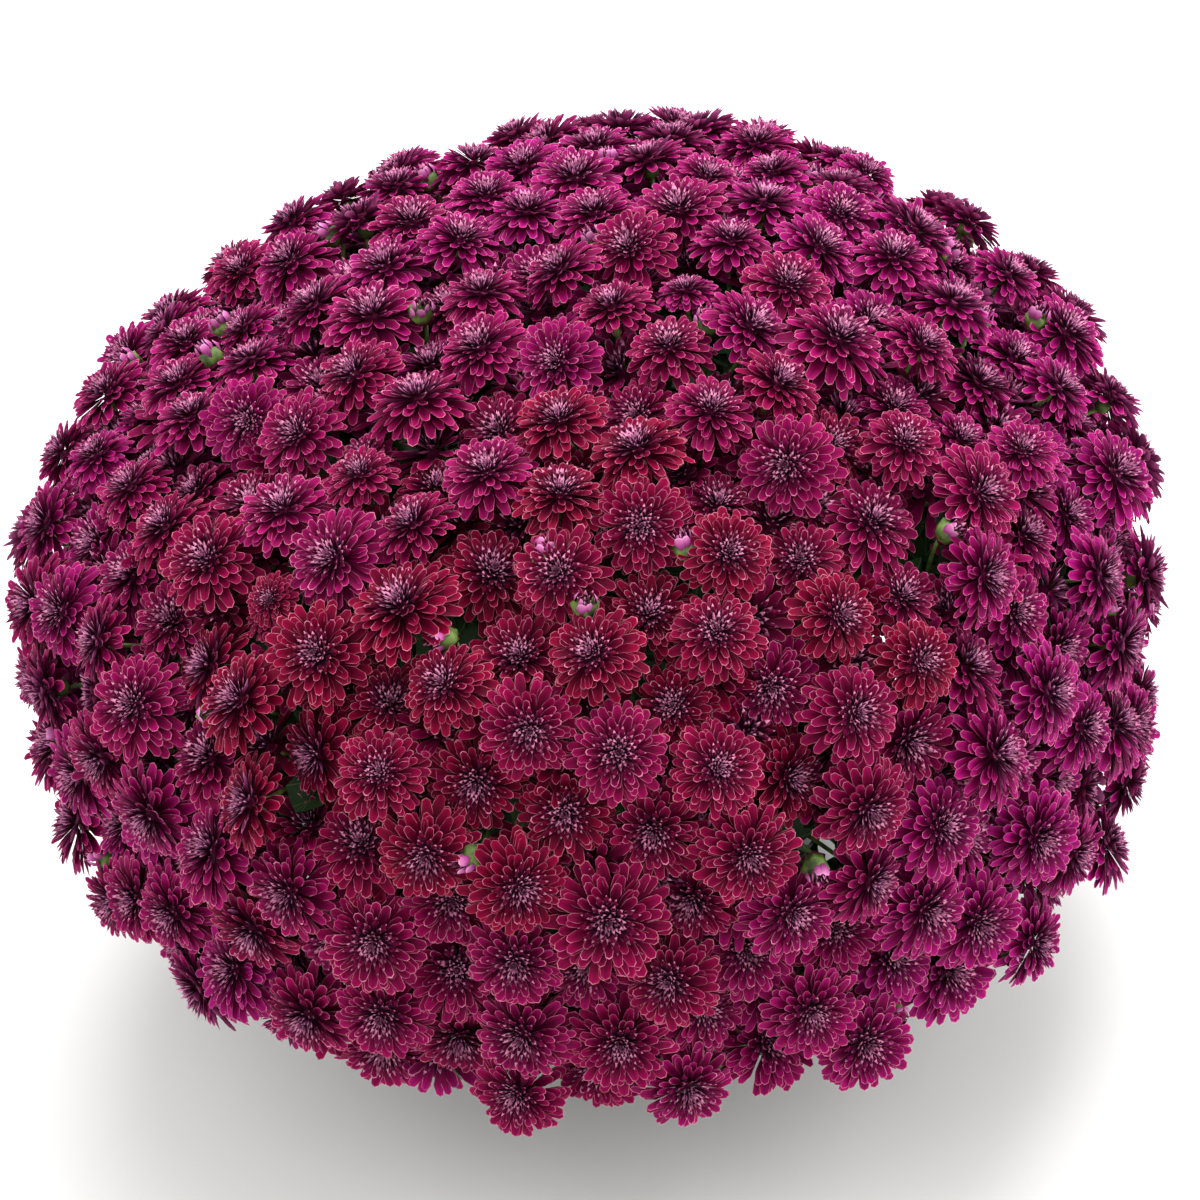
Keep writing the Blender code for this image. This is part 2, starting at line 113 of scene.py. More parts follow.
def feed(tree: bpy.types.NodeTree, node: bpy.types.Node, inputs: dict) -> None:
    """Set a node's inputs, or link them to what feeds them.

    Args:
        tree: The material's node tree.
        node: The node.
        inputs: Input names or numbers, each with a value, a hex colour, or the node or output to link.
    """
    for key, value in inputs.items():
        if isinstance(value, bpy.types.Node):
            value = next(output for output in value.outputs if output.enabled)
        if isinstance(value, bpy.types.NodeSocket):
            tree.links.new(value, node.inputs[key])
        else:
            node.inputs[key].default_value = linear(value) if isinstance(value, str) else value


def add_node(tree: bpy.types.NodeTree, kind: str, inputs: dict | None = None,
             stops: Iterable[tuple[float, str]] = (), **settings: object) -> bpy.types.Node:
    """Add a node with its settings, its fixed inputs and its links.

    Args:
        tree: The material's node tree.
        kind: Blender's name for the node's type, without ShaderNode.
        inputs: The inputs that aren't left as they are.
        stops: Places and hex colours of a colour ramp.
        settings: The node's own settings.

    Returns:
        The new node.
    """
    node = tree.nodes.new(f"ShaderNode{kind}")
    for name, value in settings.items():
        setattr(node, name, value)
    for index, (place, hex_colour) in enumerate(stops):
        ramp = node.color_ramp.elements
        stop = ramp[index] if index < 2 else ramp.new(place)
        stop.position, stop.color = place, linear(hex_colour)
    feed(tree, node, inputs or {})
    return node


def deselect_all() -> None:
    """Leave object mode with nothing selected."""
    bpy.ops.object.select_all(action="DESELECT")


def activate(first: bpy.types.Object, *others: bpy.types.Object) -> None:
    """Select only some objects.

    Args:
        first: The object that is active too.
        others: The other objects.
    """
    deselect_all()
    for piece in (first, *others):
        piece.select_set(True)
    bpy.context.view_layer.objects.active = first


def primitive(add: Callable, *finishes: bpy.types.Material, **settings: object) -> bpy.types.Object:
    """Add a primitive with nothing else selected.

    Args:
        add: Blender's operator for it.
        finishes: The materials of its slots.
        settings: The operator's settings.

    Returns:
        The new object.
    """
    deselect_all()
    add(**settings)
    for finish in finishes:
        bpy.context.object.data.materials.append(finish)
    return bpy.context.object


@contextmanager
def edit_mode() -> Iterator[None]:
    """Work on the active object in edit mode, where all of it is selected at first."""
    bpy.ops.object.mode_set(mode="EDIT")
    bpy.ops.mesh.select_all(action="SELECT")
    yield
    bpy.ops.object.mode_set(mode="OBJECT")


def choose(piece: bpy.types.Object, part: Part, test: Callable[[object], bool]) -> None:
    """Select just the points or edges of the piece in edit mode that pass a test.

    Args:
        piece: The object in edit mode.
        part: What is selected.
        test: Says whether one point or edge is selected.
    """
    bpy.ops.mesh.select_mode(type=part.value)
    mesh = bmesh.from_edit_mesh(piece.data)
    chosen = [item for item in (mesh.verts if part is Part.POINTS else mesh.edges) if test(item)]
    bpy.ops.mesh.select_all(action="DESELECT")
    for item in chosen:
        item.select_set(True)
    bmesh.update_edit_mesh(piece.data)


def mark(piece: bpy.types.Object, name: str, value: float) -> None:
    """Give every point of a piece one value of an attribute that its material reads.

    Args:
        piece: The mesh object.
        name: The attribute's name.
        value: The value, the same all over.
    """
    attribute = piece.data.attributes.new(name, "FLOAT", "POINT")
    attribute.data.foreach_set("value", np.full(len(piece.data.vertices), value, np.float32))


def copy_of(model: bpy.types.Object, place: Matrix) -> bpy.types.Object:
    """Copy a modelled piece with its own mesh, put in place.

    Args:
        model: The piece that is copied.
        place: Where the copy goes, worked into its mesh.

    Returns:
        The copy, linked to the scene.
    """
    made = model.copy()
    made.data = model.data.copy()
    made.data.transform(place)
    bpy.context.scene.collection.objects.link(made)
    return made


def join(pieces: list[bpy.types.Object], name: str) -> bpy.types.Object:
    """Join pieces into one object.

    Args:
        pieces: The objects, of which the first takes the others in.
        name: The joined object's name.

    Returns:
        The joined object.
    """
    activate(*pieces)
    bpy.ops.object.join()
    pieces[0].name = pieces[0].data.name = name
    return pieces[0]


def discard(pieces: Iterable[bpy.types.Object]) -> None:
    """Remove models that have been copied."""
    for piece in list(pieces):
        bpy.data.objects.remove(piece, do_unlink=True)


def set_down(piece: bpy.types.Object, node: str) -> None:
    """Make a finished piece ride on the part and stand for its CAD node.

    Args:
        piece: The finished piece.
        node: The CAD node that it replaces.
    """
    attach(piece, BODY)
    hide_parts(node)
    triangles = sum(len(polygon.vertices) - 2 for polygon in piece.data.polygons)
    LOG.info("%s: %d triangles", piece.name, triangles)


def unit(vector: np.ndarray) -> np.ndarray:
    """The same direction with a length of one."""
    return vector / np.linalg.norm(vector)


def about(axis: np.ndarray, turn: float) -> np.ndarray:
    """Find the direction square to an axis at an angle about it.

    Args:
        axis: The axis, one unit long.
        turn: The angle, from level where the axis isn't nearly upright.

    Returns:
        The direction.
    """
    helper = np.array([0.0, 0.0, 1.0]) if abs(axis[2]) < 0.9 else np.array([1.0, 0.0, 0.0])
    across = unit(np.cross(helper, axis))
    return math.cos(turn) * across + math.sin(turn) * np.cross(axis, across)


def placement(origin: np.ndarray, along: np.ndarray, face: np.ndarray, size: float = 1.0) -> Matrix:
    """The matrix that puts a model at a place, with its Y and Z turned to two directions.

    Args:
        origin: Where the model's origin goes.
        along: Where its Y goes.
        face: Roughly where its Z goes.
        size: How much larger it gets.

    Returns:
        The matrix.
    """
    along = unit(along)
    face = unit(face - face.dot(along) * along)
    turn = Matrix(np.column_stack([np.cross(along, face), along, face]).tolist()).to_4x4()
    return Matrix.Translation(Vector(origin)) @ turn @ Matrix.Scale(size, 4)


def bent(points: list[np.ndarray], count: int) -> np.ndarray:
    """Find points along the smooth line from a first point to a third that bends towards a second.

    Args:
        points: The three points.
        count: How many points come back.

    Returns:
        The points, ends included.
    """
    share = np.linspace(0, 1, count)[:, None]
    first, second, third = points
    return (1 - share) ** 2 * first + 2 * share * (1 - share) * second + share ** 2 * third


def curve_mesh(name: str, lines: Iterable[tuple[Iterable[np.ndarray], Iterable[float]]],
               **settings: object) -> bpy.types.Object:
    """Draw a curve with one stretch for each line, and turn it into a mesh.

    Args:
        name: The mesh's name.
        lines: The points of each stretch, and the radius at each.
        settings: The curve's own settings.

    Returns:
        The mesh object, selected and active.
    """
    curve = bpy.data.curves.new(name, "CURVE")
    curve.dimensions = "3D"
    for setting, value in settings.items():
        setattr(curve, setting, value)
    for points, radii in lines:
        stretch = curve.splines.new("POLY")
        stretch.points.add(len(points) - 1)
        stretch.use_smooth = True
        for knot, point, radius in zip(stretch.points, points, radii):
            knot.co = (*point, 1)
            knot.radius = radius / MM
    made = bpy.data.objects.new(name, curve)
    bpy.context.scene.collection.objects.link(made)
    activate(made)
    bpy.ops.object.convert(target="MESH")
    return made


def round_stems(name: str, lines: list[tuple[Iterable[np.ndarray], Iterable[float]]], roundness: int,
                finish: bpy.types.Material) -> bpy.types.Object:
    """Make round stems with closed ends.

    Args:
        name: The mesh's name.
        lines: The points of each stem, and its radius at each.
        roundness: Blender's bevel resolution: 0 has four sides and each step adds two.
        finish: The material.

    Returns:
        The stems as one mesh.
    """
    made = curve_mesh(name, lines, bevel_depth=MM, bevel_resolution=roundness, use_fill_caps=True)
    made.data.materials.append(finish)
    with edit_mode():
        bpy.ops.mesh.remove_doubles(threshold=TOUCHING)
    return made


# Finishes. A range node's inputs 1 to 4 hold a span, and a colour mix's inputs 6 and 7 hold its colours


class Span(NamedTuple):
    """A stretch of one value, and the two values that its ends turn into."""

    start: float
    end: float
    low: float = 0.0
    high: float = 1.0

    def inputs(self, value: Source) -> dict:
        """The inputs of a range node that turns a value by this span."""
        return {0: value, 1: self.start, 2: self.end, 3: self.low, 4: self.high}


class Relief(NamedTuple):
    """How strongly a pattern shows as relief, and how deep that is."""

    strength: float
    depth: float

    def inputs(self, height: Source) -> dict:
        """The inputs of a bump node whose height is the pattern."""
        return {"Height": height, "Strength": self.strength, "Distance": self.depth}


def off_middle(tree: bpy.types.NodeTree, across: Source) -> bpy.types.Node:
    """Measure how far a point is from a blade's middle line, which is 0.5 at its side."""
    offset = add_node(tree, "Math", {0: across, 1: 0.5}, operation="SUBTRACT")
    return add_node(tree, "Math", {0: offset}, operation="ABSOLUTE")


@dataclass(frozen=True)
class Finish:
    """What every finish has. Its own class draws the patterns."""

    name: str
    roughness: float
    ior: float = 1.42

    def draw(self, tree: bpy.types.NodeTree) -> dict:
        """Draw the patterns.

        Args:
            tree: The material's node tree.

        Returns:
            The shader's inputs, each with a value or with what feeds it.
        """
        raise NotImplementedError

    def material(self) -> bpy.types.Material:
        """Make the material, whose Principled shader takes the patterns in.

        Returns:
            The material.
        """
        made = bpy.data.materials.new(self.name)
        made.use_nodes = True
        tree = made.node_tree
        plain = {"Roughness": self.roughness, "IOR": self.ior}
        feed(tree, tree.nodes["Principled BSDF"], plain | self.draw(tree))
        return made


@dataclass(frozen=True)
class PetalFinish(Finish):
    """What both sides of a ray floret share: a soft gloss and fine lengthwise ribs.

    They read three attributes: ring runs from 0 at the bloom's rim to 1 at its heart; the bloom's share of
    magenta against crimson, partly a random difference between blooms and partly painted sheen and light;
    and shade, which darkens single petals. Across a petal, spans run from 0 on its middle line to 0.5 at its
    side. Along it, they run from 0 at its foot to 1 at its tip.
    """

    gloss: float = 0.06
    ribs_across: float = 9.0
    ribs_along: float = 0.7

    def ribs(self, tree: bpy.types.NodeTree, place: Source) -> bpy.types.Node:
        """Draw ribs that run from the foot to the tip, as stretched noise."""
        streak = add_node(tree, "Mapping", {0: place, "Scale": (self.ribs_across, self.ribs_along, 1)})
        return add_node(tree, "TexNoise", {"Vector": streak, "Scale": 1.0, "Detail": 2.0})


@dataclass(frozen=True)
class PetalFace(PetalFinish):
    """Upper side of a ray floret: velvety crimson to magenta tissue with a thin pale edge that is partly
    painted highlight. Painted shade darkens each petal's foot and the trough along its middle.
    """

    name: str = "ray_floret_face_velvet"
    roughness: float = 0.5
    # Painted shade at each petal's foot and in its trough; single petals also darken towards it at random
    shade_and_dark_tone: str = "#3C0420"
    crimson: tuple[str, str] = ("#6A0224", "#900234")
    magenta: tuple[str, str] = ("#840452", "#B0147C")
    heart: str = "#30041F"
    # The pale edge: partly the paler rim, partly painted highlight along it
    edge: tuple[str, str] = ("#EC909C", "#F49CCC")
    sheen: float = 0.12
    sheen_roughness: float = 0.25
    sheen_tint: str = "#E070C0"
    colour_stops: tuple[float, float, float] = (0.12, 0.94, 0.5)
    uneven: float = 0.4
    # Painted shade in the crease along each petal's middle line
    trough_shade: Span = Span(0.02, 0.3, 0.22, 0.0)
    heart_share: Span = Span(0.4, 0.75, 0.0, 0.75)
    side_line: Span = Span(0.455, 0.495)
    side_wider: Span = Span(0.45, 0.8, 0.0, 0.15)
    tip_line: Span = Span(0.96, 0.995)
    tip_longer: Span = Span(0.45, 0.9, 0.0, 0.35)
    tip_closed: Span = Span(0.88, 0.96, 1.0, 0.25)
    edge_grown: Span = Span(0.25, 0.6, 0.0, 0.85)
    patch: float = 4 * MM
    patches: Span = Span(0.4, 0.6, 0.3, 1.0)
    relief: Relief = Relief(0.35, 0.3 * MM)

    def draw(self, tree: bpy.types.NodeTree) -> dict:
        """Draw the colours from the foot to the tip, with painted shade deepest at the foot and in the
        trough, and darker on the heart's petals.

        Args:
            tree: The material's node tree.

        Returns:
            The shader's inputs.
        """
        add = partial(add_node, tree)
        texture = add("TexCoord").outputs
        place = add("SeparateXYZ", {0: texture["UV"]}).outputs
        ring, tone_and_sheen, shade = (add("Attribute", attribute_name=name).outputs["Fac"]
                             for name in ("ring", "tone_and_sheen", "shade"))
        aside = off_middle(tree, place["X"])
        # Painted shade: dark at the foot, fading towards the tip
        red, purple = (add("ValToRGB", {0: place["Y"]}, zip(self.colour_stops, (self.shade_and_dark_tone, tip, middle)))
                       for middle, tip in (self.crimson, self.magenta))
        # Mixed by each bloom's share of magenta, which is partly random and partly painted sheen and light
        blade = add("Mix", {0: tone_and_sheen, 6: red, 7: purple}, data_type="RGBA")
        # Painted shade in the trough, added to the random darkening of single petals
        trough_shade = add("MapRange", self.trough_shade.inputs(aside))
        dark = add("Math", {0: shade, 1: self.uneven, 2: trough_shade}, operation="MULTIPLY_ADD")
        blade = add("Mix", {0: dark, 6: blade, 7: self.shade_and_dark_tone}, data_type="RGBA")
        inner = add("MapRange", self.heart_share.inputs(ring))
        blade = add("Mix", {0: inner, 6: blade, 7: self.heart}, data_type="RGBA")
        # Colour of the pale edge, partly painted highlight
        rim = add("Mix", {0: ring, 6: self.edge[0], 7: self.edge[1]}, data_type="RGBA")
        edge = self.pale_edge_and_highlight(tree, texture["Object"], place["Y"], aside, ring)
        blade = add("Mix", {0: edge, 6: blade, 7: rim}, data_type="RGBA")
        bump = add("Bump", self.relief.inputs(self.ribs(tree, texture["UV"])))
        return {"Base Color": blade, "Normal": bump, "Specular IOR Level": self.gloss,
                "Sheen Weight": self.sheen, "Sheen Roughness": self.sheen_roughness,
                "Sheen Tint": self.sheen_tint}

    def pale_edge_and_highlight(self, tree: bpy.types.NodeTree, place: Source, along: Source, aside: Source,
                  ring: Source) -> bpy.types.Node:
        """Draw the pale edge, partly the paler rim and partly painted highlight, which is wider on the
        heart's petals and comes and goes in patches.

        Args:
            tree: The material's node tree.
            place: The point on the object.
            along: The share of the petal's length.
            aside: How far off the middle line.
            ring: The petal's place from the rim of the bloom to its heart.

        Returns:
            The share of the edge's colour.
        """
        add = partial(add_node, tree)
        side = add("Math", {0: aside, 1: add("MapRange", self.side_wider.inputs(ring))})
        side = add("MapRange", self.side_line.inputs(side), interpolation_type="SMOOTHSTEP")
        tip = add("Math", {0: along, 1: add("MapRange", self.tip_longer.inputs(ring))})
        tip = add("MapRange", self.tip_line.inputs(tip), interpolation_type="SMOOTHSTEP")
        closed = add("MapRange", self.tip_closed.inputs(ring))
        tip = add("Math", {0: tip, 1: closed}, operation="MULTIPLY")
        edge = add("Math", {0: side, 1: tip}, operation="MAXIMUM")
        grown = add("MapRange", self.edge_grown.inputs(along))
        edge = add("Math", {0: edge, 1: grown}, operation="MULTIPLY")
        noise = add("TexNoise", {"Vector": place, "Scale": 1 / self.patch, "Detail": 1.0})
        patches = add("MapRange", self.patches.inputs(noise))
        return add("Math", {0: edge, 1: patches}, operation="MULTIPLY")


@dataclass(frozen=True)
class PetalBack(PetalFinish):
    """Underside of a ray floret: lilac satin tissue. On the heart's petals it is dark with a pale keel."""

    name: str = "ray_floret_back_satin"
    roughness: float = 0.45
    gloss: float = 0.08
    ribs_across: float = 12.0
    foot: str = "#4A1238"
    blade: str = "#B04890"
    tip: str = "#D07CB4"
    heart: str = "#400832"
    edge: str = "#F49CCC"
    colour_stops: tuple[float, float, float] = (0.15, 0.95, 0.55)
    heart_share: Span = Span(0.38, 0.52, 0.0, 0.95)
    veins: Span = Span(0.4, 0.75, 0.0, 0.2)
    keel_line: Span = Span(0.03, 0.12, 1.0, 0.0)
    keel_share: Span = Span(0.49, 0.51, 0.0, 0.9)
    keel_closed: Span = Span(0.84, 0.96, 1.0, 0.3)
    pale_tip: Span = Span(0.88, 1.0, 0.0, 0.75)

    def draw(self, tree: bpy.types.NodeTree) -> dict:
        """Draw the colours from the foot to the tip, the veins and the pale keel.

        Args:
            tree: The material's node tree.

        Returns:
            The shader's inputs.
        """
        add = partial(add_node, tree)
        texture = add("TexCoord").outputs["UV"]
        place = add("SeparateXYZ", {0: texture}).outputs
        ring = add("Attribute", attribute_name="ring").outputs["Fac"]
        blade = add("ValToRGB", {0: place["Y"]}, zip(self.colour_stops, (self.foot, self.tip, self.blade)))
        inner = add("MapRange", self.heart_share.inputs(ring))
        blade = add("Mix", {0: inner, 6: blade, 7: self.heart}, data_type="RGBA")
        veins = add("MapRange", self.veins.inputs(self.ribs(tree, texture)))
        blade = add("Mix", {0: veins, 6: blade, 7: self.edge}, data_type="RGBA")
        pale = add("MapRange", self.keel_line.inputs(off_middle(tree, place["X"])),
                   interpolation_type="SMOOTHSTEP")
        for share in (self.keel_share, self.keel_closed):
            narrow = add("MapRange", share.inputs(ring))
            pale = add("Math", {0: pale, 1: narrow}, operation="MULTIPLY")
        tip = add("MapRange", self.pale_tip.inputs(place["Y"]))
        pale = add("Math", {0: pale, 1: tip}, operation="MAXIMUM")
        blade = add("Mix", {0: pale, 6: blade, 7: self.edge}, data_type="RGBA")
        return {"Base Color": blade, "Specular IOR Level": self.gloss}


@dataclass(frozen=True)
class LeafBlade(Finish):
    """Chrysanthemum leaf: thick, finely hairy green tissue with a paler raised midrib and side veins."""

    name: str = "chrysanthemum_leaf_matt"
    roughness: float = 0.62
    dark: str = "#12240F"
    green: str = "#2A4A20"
    vein: str = "#5C7C44"
    vein_share: float = 0.45
    midrib: Span = Span(0.035, 0.01)
    side_vein: Span = Span(0.12, 0.02)
    side_veins: float = 7.0
    vein_slant: float = -0.55
    pucker: float = 4 * MM
    vein_relief: Relief = Relief(0.5, 0.4 * MM)
    pucker_relief: Relief = Relief(0.3, 0.6 * MM)

    def draw(self, tree: bpy.types.NodeTree) -> dict:
        """Draw side veins that run forwards to the lobes, and blotches as wide as the puckers between.

        Args:
            tree: The material's node tree.

        Returns:
            The shader's inputs.
        """
        add = partial(add_node, tree)
        texture = add("TexCoord").outputs
        place = add("SeparateXYZ", {0: texture["UV"]}).outputs
        aside = off_middle(tree, place["X"])
        midrib = add("MapRange", self.midrib.inputs(aside))
        side = add("Math", {0: aside, 1: self.vein_slant, 2: place["Y"]}, operation="MULTIPLY_ADD")
        side = add("Math", {0: side, 1: self.side_veins}, operation="MULTIPLY")
        side = add("Math", {0: side, 1: 1.0}, operation="PINGPONG")
        side = add("MapRange", self.side_vein.inputs(side))
        veins = add("Math", {0: midrib, 1: side}, operation="MAXIMUM")
        mottle = add("TexNoise", {"Vector": texture["Object"], "Scale": 1 / self.pucker, "Detail": 3.0})
        blade = add("Mix", {0: mottle, 6: self.dark, 7: self.green}, data_type="RGBA")
        share = add("Math", {0: veins, 1: self.vein_share}, operation="MULTIPLY")
        blade = add("Mix", {0: share, 6: blade, 7: self.vein}, data_type="RGBA")
        bump = add("Bump", self.vein_relief.inputs(veins))
        bump = add("Bump", self.pucker_relief.inputs(mottle) | {"Normal": bump})
        return {"Base Color": blade, "Normal": bump}


@dataclass(frozen=True)
class GreenStem(Finish):
    """Young stem and flower cup: ribbed, slightly glossy green tissue that browns with age."""

    name: str = "chrysanthemum_stem_ribbed"
    roughness: float = 0.55
    young: str = "#7C9A46"
    old: str = "#34401E"
    blotch: float = 6 * MM
    colour_stops: tuple[float, float] = (0.35, 0.7)
    relief: Relief = Relief(0.4, 0.4 * MM)

    def draw(self, tree: bpy.types.NodeTree) -> dict:
        """Draw the blotches.

        Args:
            tree: The material's node tree.

        Returns:
            The shader's inputs.
        """
        add = partial(add_node, tree)
        place = add("TexCoord").outputs["Object"]
        mottle = add("TexNoise", {"Vector": place, "Scale": 1 / self.blotch, "Detail": 4.0})
        skin = add("ValToRGB", {0: mottle}, zip(self.colour_stops, (self.old, self.young)))
        return {"Base Color": skin, "Normal": add("Bump", self.relief.inputs(mottle))}


@dataclass(frozen=True)
class NurseryPot(Finish):
    """Injection-moulded polypropylene, black: a satin skin with a fine spark-eroded grain and soil dust."""

    name: str = "moulded_polypropylene_black"
    roughness: float = 0.42
    ior: float = 1.49
    body: str = "#1B1C1E"
    dust: str = "#4A4038"
    grain: float = 0.6 * MM
    cloud: float = 35 * MM
    dusty: Span = Span(0.5, 0.8, 0.0, 0.45)
    rougher: Span = Span(0.3, 0.8, 0.36, 0.62)
    relief: Relief = Relief(0.25, 0.15 * MM)

    def draw(self, tree: bpy.types.NodeTree) -> dict:
        """Draw the dust in clouds, and the grain a little coarser than the real one so that it shows.

        Args:
            tree: The material's node tree.

        Returns:
            The shader's inputs.
        """
        add = partial(add_node, tree)
        place = add("TexCoord").outputs["Object"]
        grain = add("TexNoise", {"Vector": place, "Scale": 1 / self.grain, "Detail": 2.0})
        clouds = add("TexNoise", {"Vector": place, "Scale": 1 / self.cloud, "Detail": 5.0})
        dusty = add("MapRange", self.dusty.inputs(clouds))
        skin = add("Mix", {0: dusty, 6: self.body, 7: self.dust}, data_type="RGBA")
        return {"Base Color": skin, "Roughness": add("MapRange", self.rougher.inputs(clouds)),
                "Normal": add("Bump", self.relief.inputs(grain))}


@dataclass(frozen=True)
class PottingMix(Finish):
    """Peat potting mix: dark brown crumbs about 3 mm across, with pale perlite grains."""

    name: str = "peat_potting_mix"
    roughness: float = 0.95
    ior: float = 1.5
    peat: tuple[str, str] = ("#140D09", "#3E2C1E")
    perlite: str = "#C8C4BA"
    crumb: float = 3 * MM
    fibre: float = 2 * MM
    colour_stops: tuple[float, float] = (0.3, 0.75)
    perlite_share: Span = Span(0.93, 0.95)
    crumb_relief: Relief = Relief(0.9, 1.5 * MM)
    fibre_relief: Relief = Relief(0.7, 1 * MM)

    def draw(self, tree: bpy.types.NodeTree) -> dict:
        """Draw the crumbs in the colour and in the bump.

        Args:
            tree: The material's node tree.

        Returns:
            The shader's inputs.
        """
        add = partial(add_node, tree)
        place = add("TexCoord").outputs["Object"]
        crumbs = add("TexVoronoi", {"Vector": place, "Scale": 1 / self.crumb}).outputs
        fibre = add("TexNoise", {"Vector": place, "Scale": 1 / self.fibre, "Detail": 6.0})
        soil = add("ValToRGB", {0: fibre}, zip(self.colour_stops, self.peat))
        grain = add("MapRange", self.perlite_share.inputs(add("SeparateColor", {0: crumbs["Color"]})))
        soil = add("Mix", {0: grain, 6: soil, 7: self.perlite}, data_type="RGBA")
        bump = add("Bump", self.crumb_relief.inputs(crumbs["Distance"]))
        bump = add("Bump", self.fibre_relief.inputs(fibre) | {"Normal": bump})
        return {"Base Color": soil, "Normal": bump}


@dataclass(frozen=True)
class StudioFloor(Finish):
    """Matt white painted board under the plant."""

    name: str = "painted_board_white"
    roughness: float = 0.8
    ior: float = 1.5
    colour: str = "#F4F3F1"
    roller: float = 25 * MM
    relief: Relief = Relief(0.02, 1 * MM)

    def draw(self, tree: bpy.types.NodeTree) -> dict:
        """Draw the faint unevenness of rolled paint.

        Args:
            tree: The material's node tree.

        Returns:
            The shader's inputs.
        """
        place = add_node(tree, "TexCoord").outputs["Object"]
        roll = add_node(tree, "TexNoise", {"Vector": place, "Scale": 1 / self.roller, "Detail": 2.0})
        return {"Base Color": self.colour, "Normal": add_node(tree, "Bump", self.relief.inputs(roll))}


# Petals, leaves and blooms


@dataclass(frozen=True)
class Blade:
    """A thin blade that grows along +Y with its face up: a petal or a leaf."""

    length: float
    width: float
    rows: tuple[tuple[float, float], ...]
    columns: int = 2
    cup: float = 0.0
    curl: float = 0.0
    thickness: float = 0.35 * MM

    def model(self, face: bpy.types.Material, back: bpy.types.Material) -> bpy.types.Object:
        """Model the blade as a closed lens from a grid, with a sharp rim.

        Args:
            face: The finish of its upper side.
            back: The finish of its underside.

        Returns:
            The model, whose foot is at the origin.
        """
        blade = primitive(bpy.ops.mesh.primitive_grid_add, face, back, x_subdivisions=self.columns,
                          y_subdivisions=len(self.rows) - 1, size=1)
        with edit_mode():
            self.shape_outline(blade)
            self.close_underside(blade)
            self.bend(blade)
        bpy.ops.object.shade_smooth()
        return blade

    def shape_outline(self, blade: bpy.types.Object) -> None:
        """Set each row's place and width, then lower the middle columns.

        Args:
            blade: The grid, in edit mode.
        """
        wide = self.columns + 1
        last = len(self.rows) - 1
        for row, (share, width) in enumerate(self.rows):
            start = row / last - 0.5
            choose(blade, Part.POINTS, lambda point, row=row: point.index // wide == row)
            bpy.ops.transform.resize(value=(width * self.width, 1, 1), center_override=(0, start, 0))
            bpy.ops.transform.translate(value=(0, share * self.length - start, 0))
        for column in range(1, self.columns):
            depth = self.cup * (1 - abs(2 * column / self.columns - 1))
            choose(blade, Part.POINTS, lambda point, column=column: point.index % wide == column
                   and 0 < point.index // wide < last)
            bpy.ops.transform.translate(value=(0, 0, -depth))
        tip = self.columns // 2 + last * wide
        choose(blade, Part.POINTS, lambda point: point.index == tip)
        bpy.ops.transform.translate(value=(0, (1 - self.rows[-1][0]) * self.length, 0))

    def close_underside(self, blade: bpy.types.Object) -> None:
        """Split the sheet into triangles, copy it turned over and lowered, and merge the two rims.

        Args:
            blade: The shaped sheet, in edit mode.
        """
        bpy.ops.mesh.select_all(action="SELECT")
        bpy.ops.mesh.quads_convert_to_tris()
        bpy.ops.mesh.duplicate()
        bpy.ops.mesh.flip_normals()
        mesh = bmesh.from_edit_mesh(blade.data)
        for underside in [face for face in mesh.faces if face.select]:
            underside.material_index = 1
        choose(blade, Part.POINTS, lambda point: not point.is_boundary
               and point.link_faces[0].material_index == 1)
        bpy.ops.transform.translate(value=(0, 0, -self.thickness))
        bpy.ops.mesh.select_all(action="SELECT")
        bpy.ops.mesh.remove_doubles(threshold=TOUCHING)
        choose(blade, Part.EDGES, lambda edge: len({face.material_index for face in edge.link_faces}) == 2)
        bpy.ops.mesh.mark_sharp()

    def bend(self, blade: bpy.types.Object) -> None:
        """Curl the blade upwards, or downwards where curl is below zero, a little at each row.

        Args:
            blade: The closed blade, in edit mode.
        """
        step = math.radians(self.curl) / (len(self.rows) - 1)
        for share, _ in reversed(self.rows[:-1]):
            level = share * self.length
            choose(blade, Part.POINTS, lambda point, level=level: point.co.y > level + TOUCHING)
            bpy.ops.transform.rotate(value=-step, orient_axis="X", center_override=(0, level, 0))


